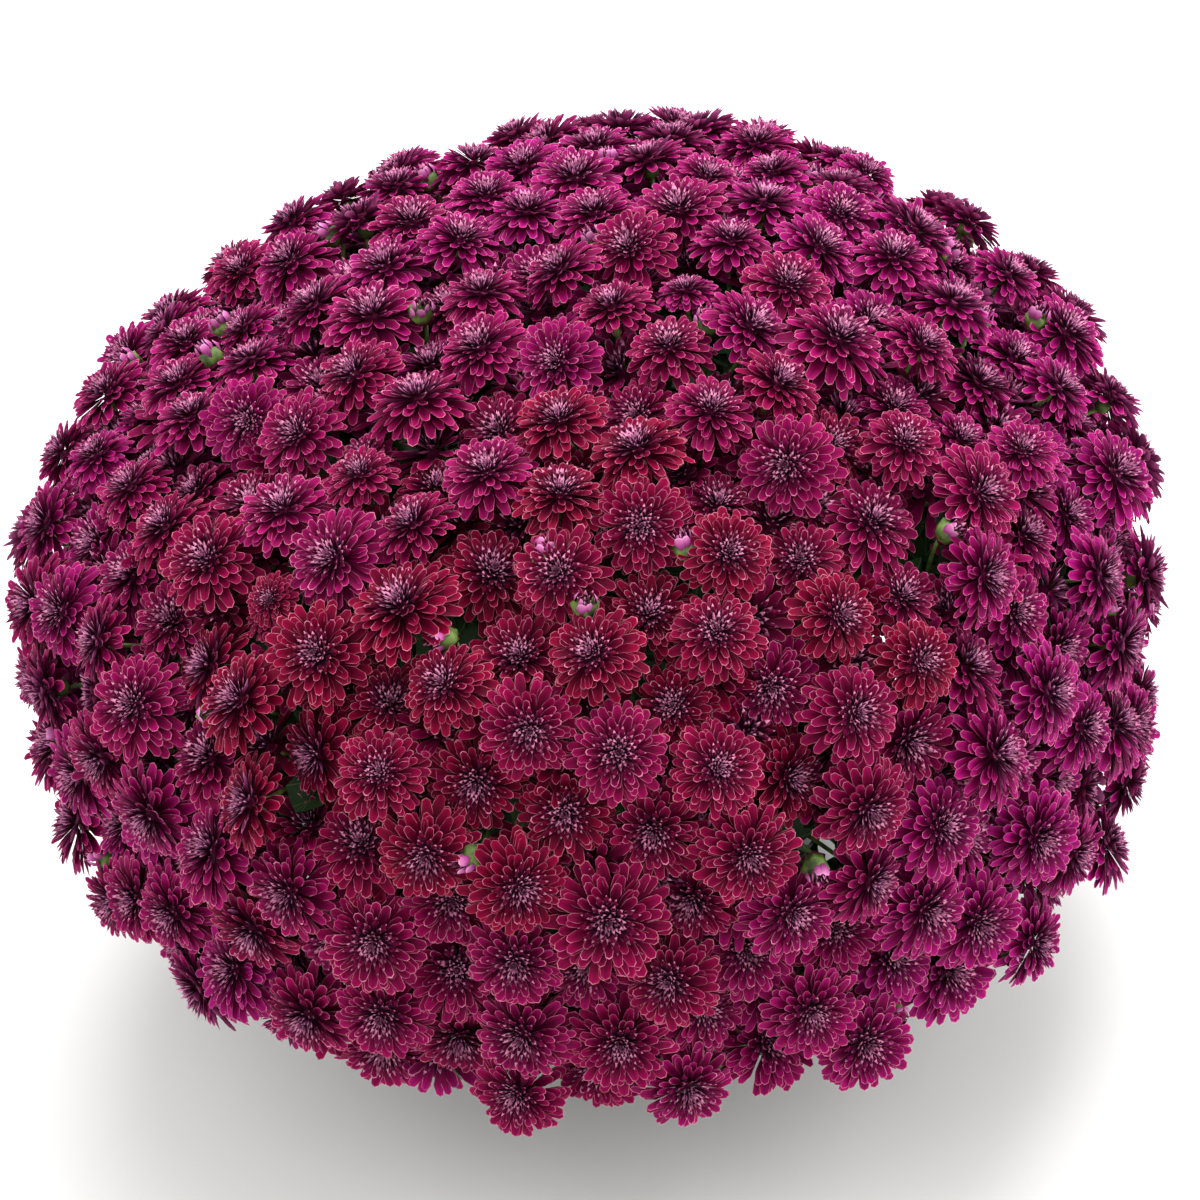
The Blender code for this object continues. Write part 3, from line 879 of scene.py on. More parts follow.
@dataclass(frozen=True)
class Floret:
    """A narrow petal of the heart that grows along +Y: a closed spindle, widest near its tip."""

    length: float
    width: float
    thickness: float = 0.7 * MM
    widest: float = 0.72

    def model(self, face: bpy.types.Material, back: bpy.types.Material) -> bpy.types.Object:
        """Model the spindle from a three-sided cone whose flat end is drawn out to the foot.

        Args:
            face: The finish of its upper side.
            back: The finish of its keeled underside.

        Returns:
            The model, whose foot is at the origin.
        """
        floret = primitive(bpy.ops.mesh.primitive_cone_add, face, back, vertices=3, radius1=0.5, depth=1,
                           end_fill_type="TRIFAN", rotation=(-math.pi / 2, 0, 0))
        bpy.ops.object.transform_apply(rotation=True)
        with edit_mode():
            bpy.ops.transform.translate(value=(0, 0.5, 0))
            choose(floret, Part.POINTS, lambda point: math.hypot(point.co.x, point.co.z) > TOUCHING)
            bpy.ops.transform.translate(value=(0, self.widest, 0))
            bpy.ops.mesh.select_all(action="SELECT")
            bpy.ops.transform.resize(value=(self.width, self.length, self.thickness),
                                     center_override=(0, 0, 0))
            self.finish_sides(floret)
        bpy.ops.object.shade_smooth()
        return floret

    def finish_sides(self, floret: bpy.types.Object) -> None:
        """Give the lower sides the back's finish and lay the texture from the foot to the tip.

        Args:
            floret: The shaped spindle, in edit mode.
        """
        mesh = bmesh.from_edit_mesh(floret.data)
        mesh.normal_update()
        layer = mesh.loops.layers.uv.verify()
        wide = 2 * max(point.co.x for point in mesh.verts)
        for side in mesh.faces:
            side.material_index = int(side.normal.z < 0)
            for corner in side.loops:
                place = corner.vert.co
                corner[layer].uv = (0.5 + place.x / wide, place.y / self.length)
        bmesh.update_edit_mesh(floret.data)


# Share of the length and of the width at each row, from the pointed foot to the last row before the tip
PETAL_ROWS = ((0.0, 0.0), (0.68, 1.0), (0.94, 0.70))

# A stalk, then lobes on each side and a tip
LEAF_ROWS = ((0.0, 0.0), (0.16, 0.12), (0.30, 0.76), (0.42, 0.44), (0.60, 1.0), (0.72, 0.50), (0.84, 0.60),
             (0.94, 0.28))


@dataclass(frozen=True)
class Whorl:
    """Part of the bloom's spiral whose petals share one blade, with their first and last lift and size."""

    blade: Blade | Floret
    count: int
    lift: tuple[float, float]
    size: tuple[float, float]


# The whorls of the low blooms, and those of the buds
LOW_WHORLS = (
    Whorl(Blade(19.8 * MM, 5.4 * MM, PETAL_ROWS, cup=0.9 * MM, curl=-32), 16, (0, 14), (1.0, 0.95)),
    Whorl(Blade(16.2 * MM, 4.8 * MM, PETAL_ROWS, cup=1.0 * MM, curl=-18), 13, (18, 34), (1.0, 0.90)),
    Whorl(Floret(12.4 * MM, 3.2 * MM), 12, (36, 50), (1.0, 0.88)),
    Whorl(Floret(9.2 * MM, 2.2 * MM), 14, (52, 84), (1.0, 0.80)),
)
BUD_WHORLS = (
    Whorl(Blade(9.5 * MM, 4.4 * MM, PETAL_ROWS, cup=1.0 * MM, curl=30), 7, (70, 78), (1.0, 0.92)),
    Whorl(Floret(9.0 * MM, 2.4 * MM), 9, (76, 88), (1.0, 0.90)),
)


@dataclass
class Bloom:
    """A double bloom: petals on a golden-angle spiral, drooping at the rim and upright at the heart."""

    whorls: tuple[Whorl, ...] = (
        Whorl(Blade(20.4 * MM, 5.2 * MM, PETAL_ROWS, cup=0.9 * MM, curl=-34), 32, (-4, 8), (1.0, 0.96)),
        Whorl(Blade(18.4 * MM, 4.9 * MM, PETAL_ROWS, cup=1.0 * MM, curl=-26), 29, (9, 21), (1.0, 0.90)),
        Whorl(Blade(15.4 * MM, 4.3 * MM, PETAL_ROWS, cup=1.0 * MM, curl=-16), 25, (22, 34), (1.0, 0.88)),
        Whorl(Floret(12.6 * MM, 3.1 * MM), 24, (32, 46), (1.0, 0.88)),
        Whorl(Floret(10.0 * MM, 2.2 * MM), 24, (46, 62), (1.0, 0.86)),
        Whorl(Floret(7.8 * MM, 1.5 * MM), 36, (60, 86), (1.0, 0.74)),
    )
    base_radius: float = 4.2 * MM
    base_rise: float = 4.6 * MM
    seat_radius: float = 5.6 * MM
    seat_height: float = 5.5 * MM
    seat_sink: float = 0.36
    seat_shade_uv: tuple[float, float] = (0.5, 0.3)
    seat_ring: float = 0.6
    lift_jitter: float = 4.0
    size_jitter: float = 0.06
    turn_jitter: float = 0.09
    roll_jitter: float = 0.22
    closing: float = 0.0
    spread: float = 1.0
    seed: int = 0

    def build(self, name: str, face: bpy.types.Material, back: bpy.types.Material) -> bpy.types.Object:
        """Model each whorl's petal once and copy it along the spiral.

        Args:
            name: The bloom's name.
            face: The finish of the petals' upper sides.
            back: The finish of their undersides.

        Returns:
            The bloom, which faces +Z from the origin.
        """
        draw = np.random.default_rng(self.seed)
        total = sum(whorl.count for whorl in self.whorls)
        petals = []
        for whorl in self.whorls:
            model = whorl.blade.model(face, back)
            for step in range(whorl.count):
                ring = len(petals) / total
                share = step / whorl.count
                lift = whorl.lift[0] + share * (whorl.lift[1] - whorl.lift[0])
                lift = lift + draw.normal(0, self.lift_jitter) + self.closing * (1 - ring)
                size = whorl.size[0] + share * (whorl.size[1] - whorl.size[0])
                size = size * draw.normal(1, self.size_jitter) * self.spread
                turn = len(petals) * GOLDEN_ANGLE + draw.normal(0, self.turn_jitter)
                foot = Vector((0, self.base_radius * (1 - ring), self.base_rise * math.sqrt(ring)))
                place = (Matrix.Rotation(turn, 4, "Z") @ Matrix.Translation(foot)
                         @ Matrix.Rotation(math.radians(lift), 4, "X")
                         @ Matrix.Rotation(draw.normal(0, self.roll_jitter), 4, "Y")
                         @ Matrix.Scale(size, 4))
                petals.append(copy_of(model, place))
                mark(petals[-1], "ring", ring)
                mark(petals[-1], "shade", draw.uniform())
            discard([model])
        return join([*petals, self.model_seat(face)], name)

    def model_seat(self, face: bpy.types.Material) -> bpy.types.Object:
        """Model the seat that hides the petals' feet, a low six-sided cone coloured with painted shade.

        Args:
            face: The finish, of which it takes the painted shade of a petal's foot and trough.

        Returns:
            The seat.
        """
        seat = primitive(bpy.ops.mesh.primitive_cone_add, face, vertices=6, radius1=self.seat_radius,
                         depth=self.seat_height, end_fill_type="TRIFAN",
                         location=(0, 0, self.seat_sink * self.seat_height))
        bpy.ops.object.transform_apply(location=True)
        # Painted shade: each corner takes the colour of a petal's dark foot and trough
        for corner in seat.data.uv_layers.active.data:
            corner.uv = self.seat_shade_uv
        mark(seat, "ring", self.seat_ring)
        return seat


# The dome that the blooms stand on, and their places


@dataclass(frozen=True)
class Dome:
    """The smooth dome that the blooms stand on: a crown that leans to +X above a steep skirt."""

    radius: float = 267 * MM
    crown: float = 168 * MM
    skirt: float = 478 * MM
    skirt_drop: float = 117 * MM
    widest_level: float = 256 * MM
    full_crown: float = 168 * MM
    crown_lean: float = 42 * MM
    profile_points: int = 2000

    def moved_in(self, inset: float) -> "Dome":
        """The same dome with its surface moved inwards."""
        return replace(self, radius=self.radius - inset, crown=self.crown - inset, skirt=self.skirt - inset)

    def lean(self, height: np.ndarray) -> np.ndarray:
        """How far the axis has moved to +X at a height above the widest level."""
        return self.crown_lean * np.clip(height / self.full_crown, 0, None) ** 2

    def upright_offset(self, points: np.ndarray) -> np.ndarray:
        """Find points as seen from the dome's middle, with the lean of the crown taken out.

        Args:
            points: Points anywhere near the dome.

        Returns:
            Their offsets from the middle of the widest level.
        """
        offset = points - np.array([0, 0, self.widest_level])
        offset[..., 0] -= self.lean(offset[..., 2])
        return offset

    def outline(self, slope: np.ndarray) -> tuple[np.ndarray, np.ndarray]:
        """Find the half section of the dome.

        Args:
            slope: Angles from straight up, as seen from the dome's middle.

        Returns:
            Distances from the axis and heights above the widest level.
        """
        rise = np.where(np.cos(slope) > 0, self.crown, self.skirt)
        reach = 1 / np.sqrt((np.sin(slope) / self.radius) ** 2 + (np.cos(slope) / rise) ** 2)
        return reach * np.sin(slope), reach * np.cos(slope)

    def point(self, slope: np.ndarray, turn: np.ndarray) -> np.ndarray:
        """Find points from their direction as seen from the dome's middle.

        Args:
            slope: Angles from straight up.
            turn: Angles about Z.

        Returns:
            The points on the dome.
        """
        distance, height = self.outline(slope)
        return np.stack([distance * np.cos(turn) + self.lean(height), distance * np.sin(turn),
                         height + self.widest_level], axis=-1)

    def on_surface(self, points: np.ndarray) -> np.ndarray:
        """Move points along the line to the dome's middle until they lie on it.

        Args:
            points: Points anywhere near the dome.

        Returns:
            The points on the dome.
        """
        offset = self.upright_offset(points)
        slope = np.arctan2(np.hypot(offset[..., 0], offset[..., 1]), offset[..., 2])
        turn = np.arctan2(offset[..., 1], offset[..., 0])
        return self.point(np.minimum(slope, self.lowest_slope()), turn)

    def normal(self, points: np.ndarray) -> np.ndarray:
        """Find outward unit normals.

        Args:
            points: Points on the dome.

        Returns:
            A unit normal for each.
        """
        offset = self.upright_offset(points)
        x, y, height = offset[..., 0], offset[..., 1], offset[..., 2]
        rise = np.where(height > 0, self.crown, self.skirt)
        lean_slope = 2 * self.lean(height) / np.maximum(height, MM)
        slanted = np.stack([x / self.radius ** 2, y / self.radius ** 2,
                            height / rise ** 2 - lean_slope * x / self.radius ** 2], axis=-1)
        return slanted / np.linalg.norm(slanted, axis=-1, keepdims=True)

    def lowest_slope(self) -> float:
        """The slope of the skirt's lowest blooms."""
        reach = self.radius * math.sqrt(1 - (self.skirt_drop / self.skirt) ** 2)
        return math.pi / 2 + math.atan2(self.skirt_drop, reach)

    def spiral(self, count: int) -> np.ndarray:
        """Lay points on a golden-angle spiral, each with the same share of the dome's area.

        Args:
            count: How many points.

        Returns:
            The points on the dome.
        """
        slopes = np.linspace(0, self.lowest_slope(), self.profile_points)
        distance, height = self.outline(slopes)
        steps = np.hypot(np.diff(distance), np.diff(height))
        area = np.concatenate([[0], np.cumsum(steps * (distance[1:] + distance[:-1]) / 2)])
        shares = (np.arange(count) + 0.5) / count
        return self.point(np.interp(shares * area[-1], area, slopes), np.arange(count) * GOLDEN_ANGLE)


@dataclass
class Spot:
    """Where one bloom stands: its middle, its axis, its size and the place where its stalk meets the core."""

    middle: np.ndarray
    axis: np.ndarray
    foot: np.ndarray
    radius: float
    turn: float
    spray: int = 0
    kind: Kind = Kind.FULL


@dataclass
class Planting:
    """The seeded rule that places the blooms, which the part's source uses too."""

    dome: Dome = field(default_factory=Dome)
    bloom_count: int = 410
    spray_count: int = 38
    spray_rounds: int = 8
    jitter: float = 0.20
    rounds: int = 80
    spacing: float = 46 * MM
    push_share: float = 0.25
    heights: tuple[float, float] = (-11 * MM, 6 * MM)
    lump_height: float = 1.8 * MM
    lump_waves: tuple[tuple[float, ...], ...] = ((4.1, 1.7, 0.0, 0.6), (-2.3, 3.3, -2.9, 1.2),
                                                 (2.3, -1.4, 2.6, -0.8))
    largest: float = 23 * MM
    clearance: float = 0.3 * MM
    stalk: float = 24 * MM
    tilt_up: float = 0.30
    tilt_random: float = 0.12
    low_count: int = 400
    low_inset: float = 15 * MM
    low_spacing: float = 13 * MM
    low_tries: int = 12
    low_tilt: float = 0.3
    low_radii: tuple[float, float] = (15 * MM, 20 * MM)
    bud_every: int = 8
    half_open_every: int = 7
    bud_rise: float = 17 * MM
    bud_radius: float = 20 * MM
    core: Dome = field(init=False)
    spots: list[Spot] = field(init=False)
    centres: np.ndarray = field(init=False)

    def __post_init__(self) -> None:
        """Place the blooms, share them among the sprays and fill the clefts."""
        self.core = self.dome.moved_in(self.stalk)
        draw = np.random.default_rng(SEED)
        self.spots = self.place_blooms(draw)
        self.share_blooms()
        self.spots = self.spots + self.fill_clefts(draw)

    def sites(self, draw: np.random.Generator) -> tuple[np.ndarray, np.ndarray]:
        """Spread the blooms evenly: they start on a spiral and push each other apart.

        Args:
            draw: The seeded draws.

        Returns:
            Places on the dome, and heights above it.
        """
        sites = self.dome.spiral(self.bloom_count)
        sites = self.dome.on_surface(sites + draw.normal(0, self.jitter * self.spacing, sites.shape))
        heights = draw.uniform(*self.heights, len(sites))
        for _ in range(self.rounds):
            normals = self.dome.normal(sites)
            middles = sites + heights[:, None] * normals
            apart = middles[:, None] - middles[None]
            gaps = np.linalg.norm(apart, axis=2) + np.eye(len(sites))
            push = np.clip(self.spacing - gaps, 0, None) * (1 - np.eye(len(sites)))
            move = self.push_share * (apart / gaps[..., None] * push[..., None]).sum(axis=1)
            heights = np.clip(heights + (move * normals).sum(axis=1), *self.heights)
            sites = self.dome.on_surface(sites + move)
        return sites, heights

    def lumps(self, points: np.ndarray) -> np.ndarray:
        """Height of the dome's broad uneven swells.

        Args:
            points: Points on the dome.

        Returns:
            A height for each.
        """
        waves = np.array(self.lump_waves)
        phase = points / self.dome.radius @ waves[:, :3].T + waves[:, 3]
        return self.lump_height * np.sin(phase).sum(axis=1)

    def radii(self, middles: np.ndarray) -> np.ndarray:
        """Find the largest radii that keep every bloom's own sphere clear of the others.

        Args:
            middles: The middles of the blooms.

        Returns:
            A radius for each.
        """
        gaps = np.linalg.norm(middles[:, None] - middles[None], axis=2) + np.eye(len(middles))
        radii = np.minimum(gaps.min(axis=1) / 2 - self.clearance, self.largest)
        for index in range(len(middles)):
            room = gaps[index] - radii - 2 * self.clearance
            room[index] = self.largest
            radii[index] = min(self.largest, room.min())
        return radii

    def place_blooms(self, draw: np.random.Generator) -> list[Spot]:
        """Place every bloom of the upper layer.

        Args:
            draw: The seeded draws.

        Returns:
            The spots.
        """
        sites, heights = self.sites(draw)
        normals = self.dome.normal(sites)
        middles = sites + (heights + self.lumps(sites))[:, None] * normals
        radii = self.radii(middles)
        axes = normals + self.tilt_up * np.sqrt(1 - normals[:, 2:] ** 2) * np.array([0, 0, 1])
        axes = axes + draw.normal(0, self.tilt_random, sites.shape)
        axes = axes / np.linalg.norm(axes, axis=1, keepdims=True)
        feet = self.core.on_surface(sites - self.stalk * normals)
        turns = draw.uniform(0, 2 * math.pi, len(sites))
        return [Spot(*values) for values in zip(middles, axes, feet, radii, turns)]

    def share_blooms(self) -> None:
        """Share the blooms among evenly spread sprays, by their stalks' feet."""
        feet = np.array([spot.foot for spot in self.spots])
        centres = self.core.spiral(self.spray_count)
        for _ in range(self.spray_rounds):
            owners = np.linalg.norm(feet[:, None] - centres[None], axis=2).argmin(axis=1)
            centres = self.core.on_surface(np.array([feet[owners == k].mean(axis=0)
                                                     for k in range(self.spray_count)]))
        self.centres = centres
        for spot in self.spots:
            spot.spray = self.nearest_spray(spot.foot)

    def nearest_spray(self, foot: np.ndarray) -> int:
        """The index of the spray that a stalk's foot belongs to."""
        return int(np.linalg.norm(self.centres - foot, axis=1).argmin())

    def fill_clefts(self, draw: np.random.Generator) -> list[Spot]:
        """Place smaller blooms lower down, in the widest clefts between those of the upper layer.

        Args:
            draw: The seeded draws.

        Returns:
            The spots of the lower layer.
        """
        lower = self.dome.moved_in(self.low_inset)
        places = lower.spiral(self.low_tries * self.bloom_count)
        taken = [spot.middle for spot in self.spots]
        room = np.linalg.norm(places[:, None] - np.array(taken)[None], axis=2).min(axis=1)
        made = []
        for _ in range(self.low_count):
            best = int(room.argmax())
            if room[best] < self.low_spacing:
                break
            place = places[best]
            normal = self.dome.normal(place)
            axis = unit(normal + self.tilt_up * np.array([0, 0, 1]) + draw.normal(0, self.low_tilt, 3))
            foot = self.core.on_surface(place - self.stalk * normal)
            spot = Spot(place, axis, foot, float(np.clip(room[best], *self.low_radii)),
                        draw.uniform(0, 2 * math.pi), self.nearest_spray(foot), self.kind_of(len(made)))
            if spot.kind is Kind.BUD:
                spot.middle, spot.radius = place + self.bud_rise * normal, self.bud_radius
            made.append(spot)
            room = np.minimum(room, np.linalg.norm(places - place, axis=1))
        return made

    def kind_of(self, count: int) -> Kind:
        """Choose the kind of a bloom in a cleft.

        Args:
            count: How many have been placed before it.

        Returns:
            The kind.
        """
        if count % self.bud_every == self.bud_every // 2 + 1:
            return Kind.BUD
        return Kind.HALF_OPEN if count % self.half_open_every == self.half_open_every // 2 else Kind.LOW


@dataclass
class Sprays:
    """The heads of blooms, each one piece that replaces the spray's solid."""

    planting: Planting
    bloom_radius: float = 23 * MM
    overlap: float = 1.25
    free_tilt: float = 0.19
    drop: float = 2.5 * MM
    # The front's direction, and the share of magenta by how squarely the dome faces it, which is painted
    # sheen:
    # more magenta where the dome turns away from the front. The shift to +X is painted light from that side,
    # and the spread is a random difference between blooms.
    front: tuple[float, float, float] = (0.0, -0.81, 0.59)
    painted_sheen_steps: tuple[tuple[float, float], ...] = ((-1.0, 0.7), (0.4, 1.0), (0.7, 0.5), (0.9, 0.05))
    painted_light_across: float = 0.28
    tone_spread: float = 0.14

    def build(self) -> list[bpy.types.Object]:
        """Model the kinds of bloom once and copy them to every spot.

        Returns:
            The pieces, one for each spray.
        """
        face, back = PetalFace().material(), PetalBack().material()
        kinds = {
            Kind.FULL: [Bloom(seed=1), Bloom(seed=2, closing=5), Bloom(seed=3, closing=-3),
                        Bloom(seed=4, closing=9), Bloom(seed=5, closing=2, spread=1.04),
                        Bloom(seed=6, closing=16, spread=0.96)],
            Kind.LOW: [Bloom(LOW_WHORLS, seed=7), Bloom(LOW_WHORLS, seed=8, closing=10)],
            Kind.HALF_OPEN: [Bloom(LOW_WHORLS, seed=9, closing=56, spread=0.8)],
            Kind.BUD: [Bloom(BUD_WHORLS, seed=10)],
        }
        models = {kind: [bloom.build(f"{kind.value}_{index}", face, back)
                         for index, bloom in enumerate(blooms)] for kind, blooms in kinds.items()}
        draw = np.random.default_rng(SEED + 1)
        pieces = []
        for spray in range(self.planting.spray_count):
            blooms = []
            for spot in [spot for spot in self.planting.spots if spot.spray == spray]:
                choice = models[spot.kind]
                tilt = draw.normal(0, self.free_tilt, 3)
                bloom = copy_of(choice[draw.integers(len(choice))], self.place(spot, tilt))
                # Each bloom's share of magenta: painted sheen and light from its place, with a random
                # difference added
                mark(bloom, "tone_and_sheen", float(np.clip(draw.normal(self.tone_and_sheen(spot), self.tone_spread), 0, 1)))
                blooms.append(bloom)
            pieces.append(join(blooms, f"spray_{spray + 1:02d}_blooms"))
            set_down(pieces[-1], f"spray_{spray + 1:02d}")
        discard([model for choice in models.values() for model in choice])
        return pieces

    def tone_and_sheen(self, spot: Spot) -> float:
        """Find how far a bloom's colour is from crimson to magenta: least on the front, more to +X. Both are
        painted: sheen where the dome turns away from the front, and light from the +X side.

        Args:
            spot: The bloom's spot.

        Returns:
            The mean share of magenta.
        """
        dome = self.planting.dome
        facing = dome.normal(spot.middle).dot(self.front)
        share = float(np.interp(facing, *zip(*self.painted_sheen_steps)))
        return share + self.painted_light_across * spot.middle[0] / dome.radius

    def place(self, spot: Spot, tilt: np.ndarray) -> Matrix:
        """Where a bloom's model goes, with its own turn about its axis.

        Args:
            spot: The bloom's spot.
            tilt: How far its axis leans from the spot's own.

        Returns:
            The matrix.
        """
        axis = unit(spot.axis + tilt)
        size = self.overlap * spot.radius / self.bloom_radius
        return placement(spot.middle - self.drop * spot.axis, about(axis, spot.turn), axis, size)


@dataclass
class Greenery:
    """The leafy stems: trunks, branches, stalks with their flower cups, and lobed leaves."""

    planting: Planting
    outer_stems: int = 6
    ring_radius: float = 30 * MM
    trunk_radii: tuple[float, float, float] = (6 * MM, 6 * MM, 4.5 * MM)
    hole_depth: float = 32 * MM
    seat_gap: float = 0.3 * MM
    outer_fork: tuple[float, float] = (92 * MM, 222 * MM)
    centre_fork_level: float = 258 * MM
    centre_cone: float = math.radians(40)
    branch_radius: float = 3 * MM
    branch_taper: tuple[float, float] = (1.15, 0.9)
    branch_points: int = 7
    wood_roundness: int = 2
    branch_knee: float = 0.35
    branch_step: float = 10 * MM
    spray_depth: float = 44 * MM
    stalk_radii: tuple[float, float] = (1.7 * MM, 1.2 * MM)
    stalk_points: int = 5
    stalk_roundness: int = 0
    cup_radius: float = 5.6 * MM
    cup_sides: int = 8
    cup_height_share: float = 0.9
    bract_flare: float = 1.25
    bract_rise: float = 0.8 * MM
    cup_depth: float = 7 * MM
    bud_cup_size: float = 1.1
    cup_drop: float = 8 * MM
    leaf_place: float = 0.62
    leaf_spread: float = 1.7
    leaf_first_turn: float = 0.4
    leaf_turn_jitter: float = 0.4
    leaf_rise: float = 0.30
    leaves_for_each: int = 2
    leaf_inset: tuple[float, float] = (2 * MM, 14 * MM)
    leaf_sizes: tuple[float, float] = (0.72, 1.0)
    leaf_blades: tuple[Blade, ...] = (
        Blade(58 * MM, 40 * MM, LEAF_ROWS, cup=5 * MM, curl=-22, thickness=0.6 * MM),
        Blade(58 * MM, 40 * MM, LEAF_ROWS, cup=3 * MM, curl=-40, thickness=0.6 * MM),
        Blade(54 * MM, 36 * MM, LEAF_ROWS, cup=7 * MM, curl=-8, thickness=0.6 * MM),
    )

    def build(self) -> list[bpy.types.Object]:
        """Grow every stem with what it bears.

        Returns:
            The pieces, one for each stem.
        """
        skin, blade = GreenStem().material(), LeafBlade().material()
        leaves = [form.model(blade, blade) for form in self.leaf_blades]
        cup = self.model_cup(skin)
        draw = np.random.default_rng(SEED + 2)
        pieces = []
        for stem in range(self.outer_stems + 1):
            sprays = [index for index, centre in enumerate(self.planting.centres)
                      if self.stem_of(centre) == stem]
            spots = [spot for spot in self.planting.spots if spot.spray in sprays]
            parts = [self.grow_wood(stem, sprays, skin), self.grow_stalks(stem, spots, skin)]
            parts += [copy_of(cup, self.cup_place(spot)) for spot in spots]
            parts += self.grow_leaves(stem, sprays, spots, leaves, draw)
            pieces.append(join(parts, f"leafy_stem_{stem + 1}_greens"))
            set_down(pieces[-1], f"leafy_stem_{stem + 1}")
        discard([cup, *leaves])
        return pieces

    def stem_feet(self) -> np.ndarray:
        """Find where the stems stand.

        Returns:
            The X and Y of each: the middle one first, then the ring.
        """
        turns = math.pi / self.outer_stems + 2 * math.pi * np.arange(self.outer_stems) / self.outer_stems
        ring = self.ring_radius * np.column_stack([np.cos(turns), np.sin(turns)])
        return np.vstack([[0.0, 0.0], ring])

    def fork_of(self, stem: int) -> np.ndarray:
        """Find the point where a stem divides into its branches.

        Args:
            stem: The stem's index.

        Returns:
            The point.
        """
        if stem == 0:
            return np.array([0.0, 0.0, self.centre_fork_level])
        reach, level = self.outer_fork
        return np.array([*(self.stem_feet()[stem] / self.ring_radius * reach), level])

    def stem_of(self, centre: np.ndarray) -> int:
        """Find the stem that bears a spray: the middle one under the crown, else by its turn.

        Args:
            centre: The spray's middle on the core.

        Returns:
            The stem's index.
        """
        offset = self.planting.dome.upright_offset(centre)
        if math.atan2(math.hypot(offset[0], offset[1]), offset[2]) < self.centre_cone:
            return 0
        turn = math.atan2(offset[1], offset[0]) % (2 * math.pi)
        return 1 + int(turn / (2 * math.pi) * self.outer_stems)

    def branch_end(self, spray: int) -> tuple[np.ndarray, np.ndarray]:
        """Where a spray's branch ends, and the inward direction there.

        Args:
            spray: The spray's index.

        Returns:
            The end and the direction.
        """
        centre = self.planting.centres[spray]
        inwards = -self.planting.core.normal(centre)
        return centre + (self.spray_depth + self.seat_gap) * inwards, inwards

    def branch_knee_of(self, stem: int, spray: int) -> np.ndarray:
        """Where a branch turns outwards to its spray."""
        end, inwards = self.branch_end(spray)
        return end + self.branch_knee * np.linalg.norm(end - self.fork_of(stem)) * inwards

    def grow_wood(self, stem: int, sprays: list[int], skin: bpy.types.Material) -> bpy.types.Object:
        """Grow a stem's trunk and its branches, each rooted lower than the last.

        Args:
            stem: The stem's index.
            sprays: The sprays that it bears.
            skin: The finish.

        Returns:
            The round stems as one mesh.
        """
        x, y = self.stem_feet()[stem]
        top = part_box("soil")[1].z
        foot = np.array([x, y, top - self.hole_depth + self.seat_gap])
        collar = np.array([x, y, top + self.trunk_radii[0]])
        fork = self.fork_of(stem)
        downwards = unit(collar - fork)
        lines = [([foot, collar, fork], self.trunk_radii)]
        for index, spray in enumerate(sprays):
            root = fork + (self.trunk_radii[2] + index * self.branch_step) * downwards
            end, _ = self.branch_end(spray)
            path = bent([root, self.branch_knee_of(stem, spray), end], self.branch_points)
            lines.append((path, np.linspace(*self.branch_taper, len(path)) * self.branch_radius))
        return round_stems(f"wood_{stem}", lines, self.wood_roundness, skin)

    def grow_stalks(self, stem: int, spots: list[Spot], skin: bpy.types.Material) -> bpy.types.Object:
        """Grow a stalk from the branch's end to the cup of each bloom.

        Args:
            stem: The stem's index.
            spots: The blooms that it bears.
            skin: The finish.

        Returns:
            The stalks as one mesh.
        """
        lines = []
        for spot in spots:
            start, _ = self.branch_end(spot.spray)
            start = start + self.stalk_radii[0] * unit(spot.foot - start)
            top = spot.middle - self.cup_depth * spot.axis
            path = bent([start, spot.foot, top], self.stalk_points)
            lines.append((path, np.linspace(*self.stalk_radii, len(path))))
        return round_stems(f"stalks_{stem}", lines, self.stalk_roundness, skin)

    def model_cup(self, skin: bpy.types.Material) -> bpy.types.Object:
        """Model the green cup that holds a bloom's petals, with its pointed bracts.

        Args:
            skin: The finish.

        Returns:
            The cup, 11 mm across, whose middle is at the origin.
        """
        cup = primitive(bpy.ops.mesh.primitive_uv_sphere_add, skin, segments=self.cup_sides, ring_count=3,
                        radius=self.cup_radius)
        top = self.cup_radius * self.cup_height_share
        step = 2 * math.pi / self.cup_sides
        with edit_mode():
            bpy.ops.transform.resize(value=(1, 1, self.cup_height_share), center_override=(0, 0, 0))
            choose(cup, Part.POINTS, lambda point: 0 < point.co.z < top - TOUCHING
                   and round(math.atan2(point.co.y, point.co.x) / step) % 2 == 0)
            bpy.ops.transform.resize(value=(self.bract_flare, self.bract_flare, 1),
                                     center_override=(0, 0, 0))
            bpy.ops.transform.translate(value=(0, 0, self.bract_rise))
        bpy.ops.object.shade_smooth()
        return cup

    def cup_place(self, spot: Spot) -> Matrix:
        """Find where the cup of a bloom goes, under its petals or round a bud.

        Args:
            spot: The bloom's spot.

        Returns:
            The matrix.
        """
        along = about(spot.axis, 0)
        if spot.kind is Kind.BUD:
            return placement(spot.middle, along, spot.axis, self.bud_cup_size)
        size = spot.radius / self.planting.largest
        return placement(spot.middle - self.cup_drop * size * spot.axis, along, spot.axis, size)

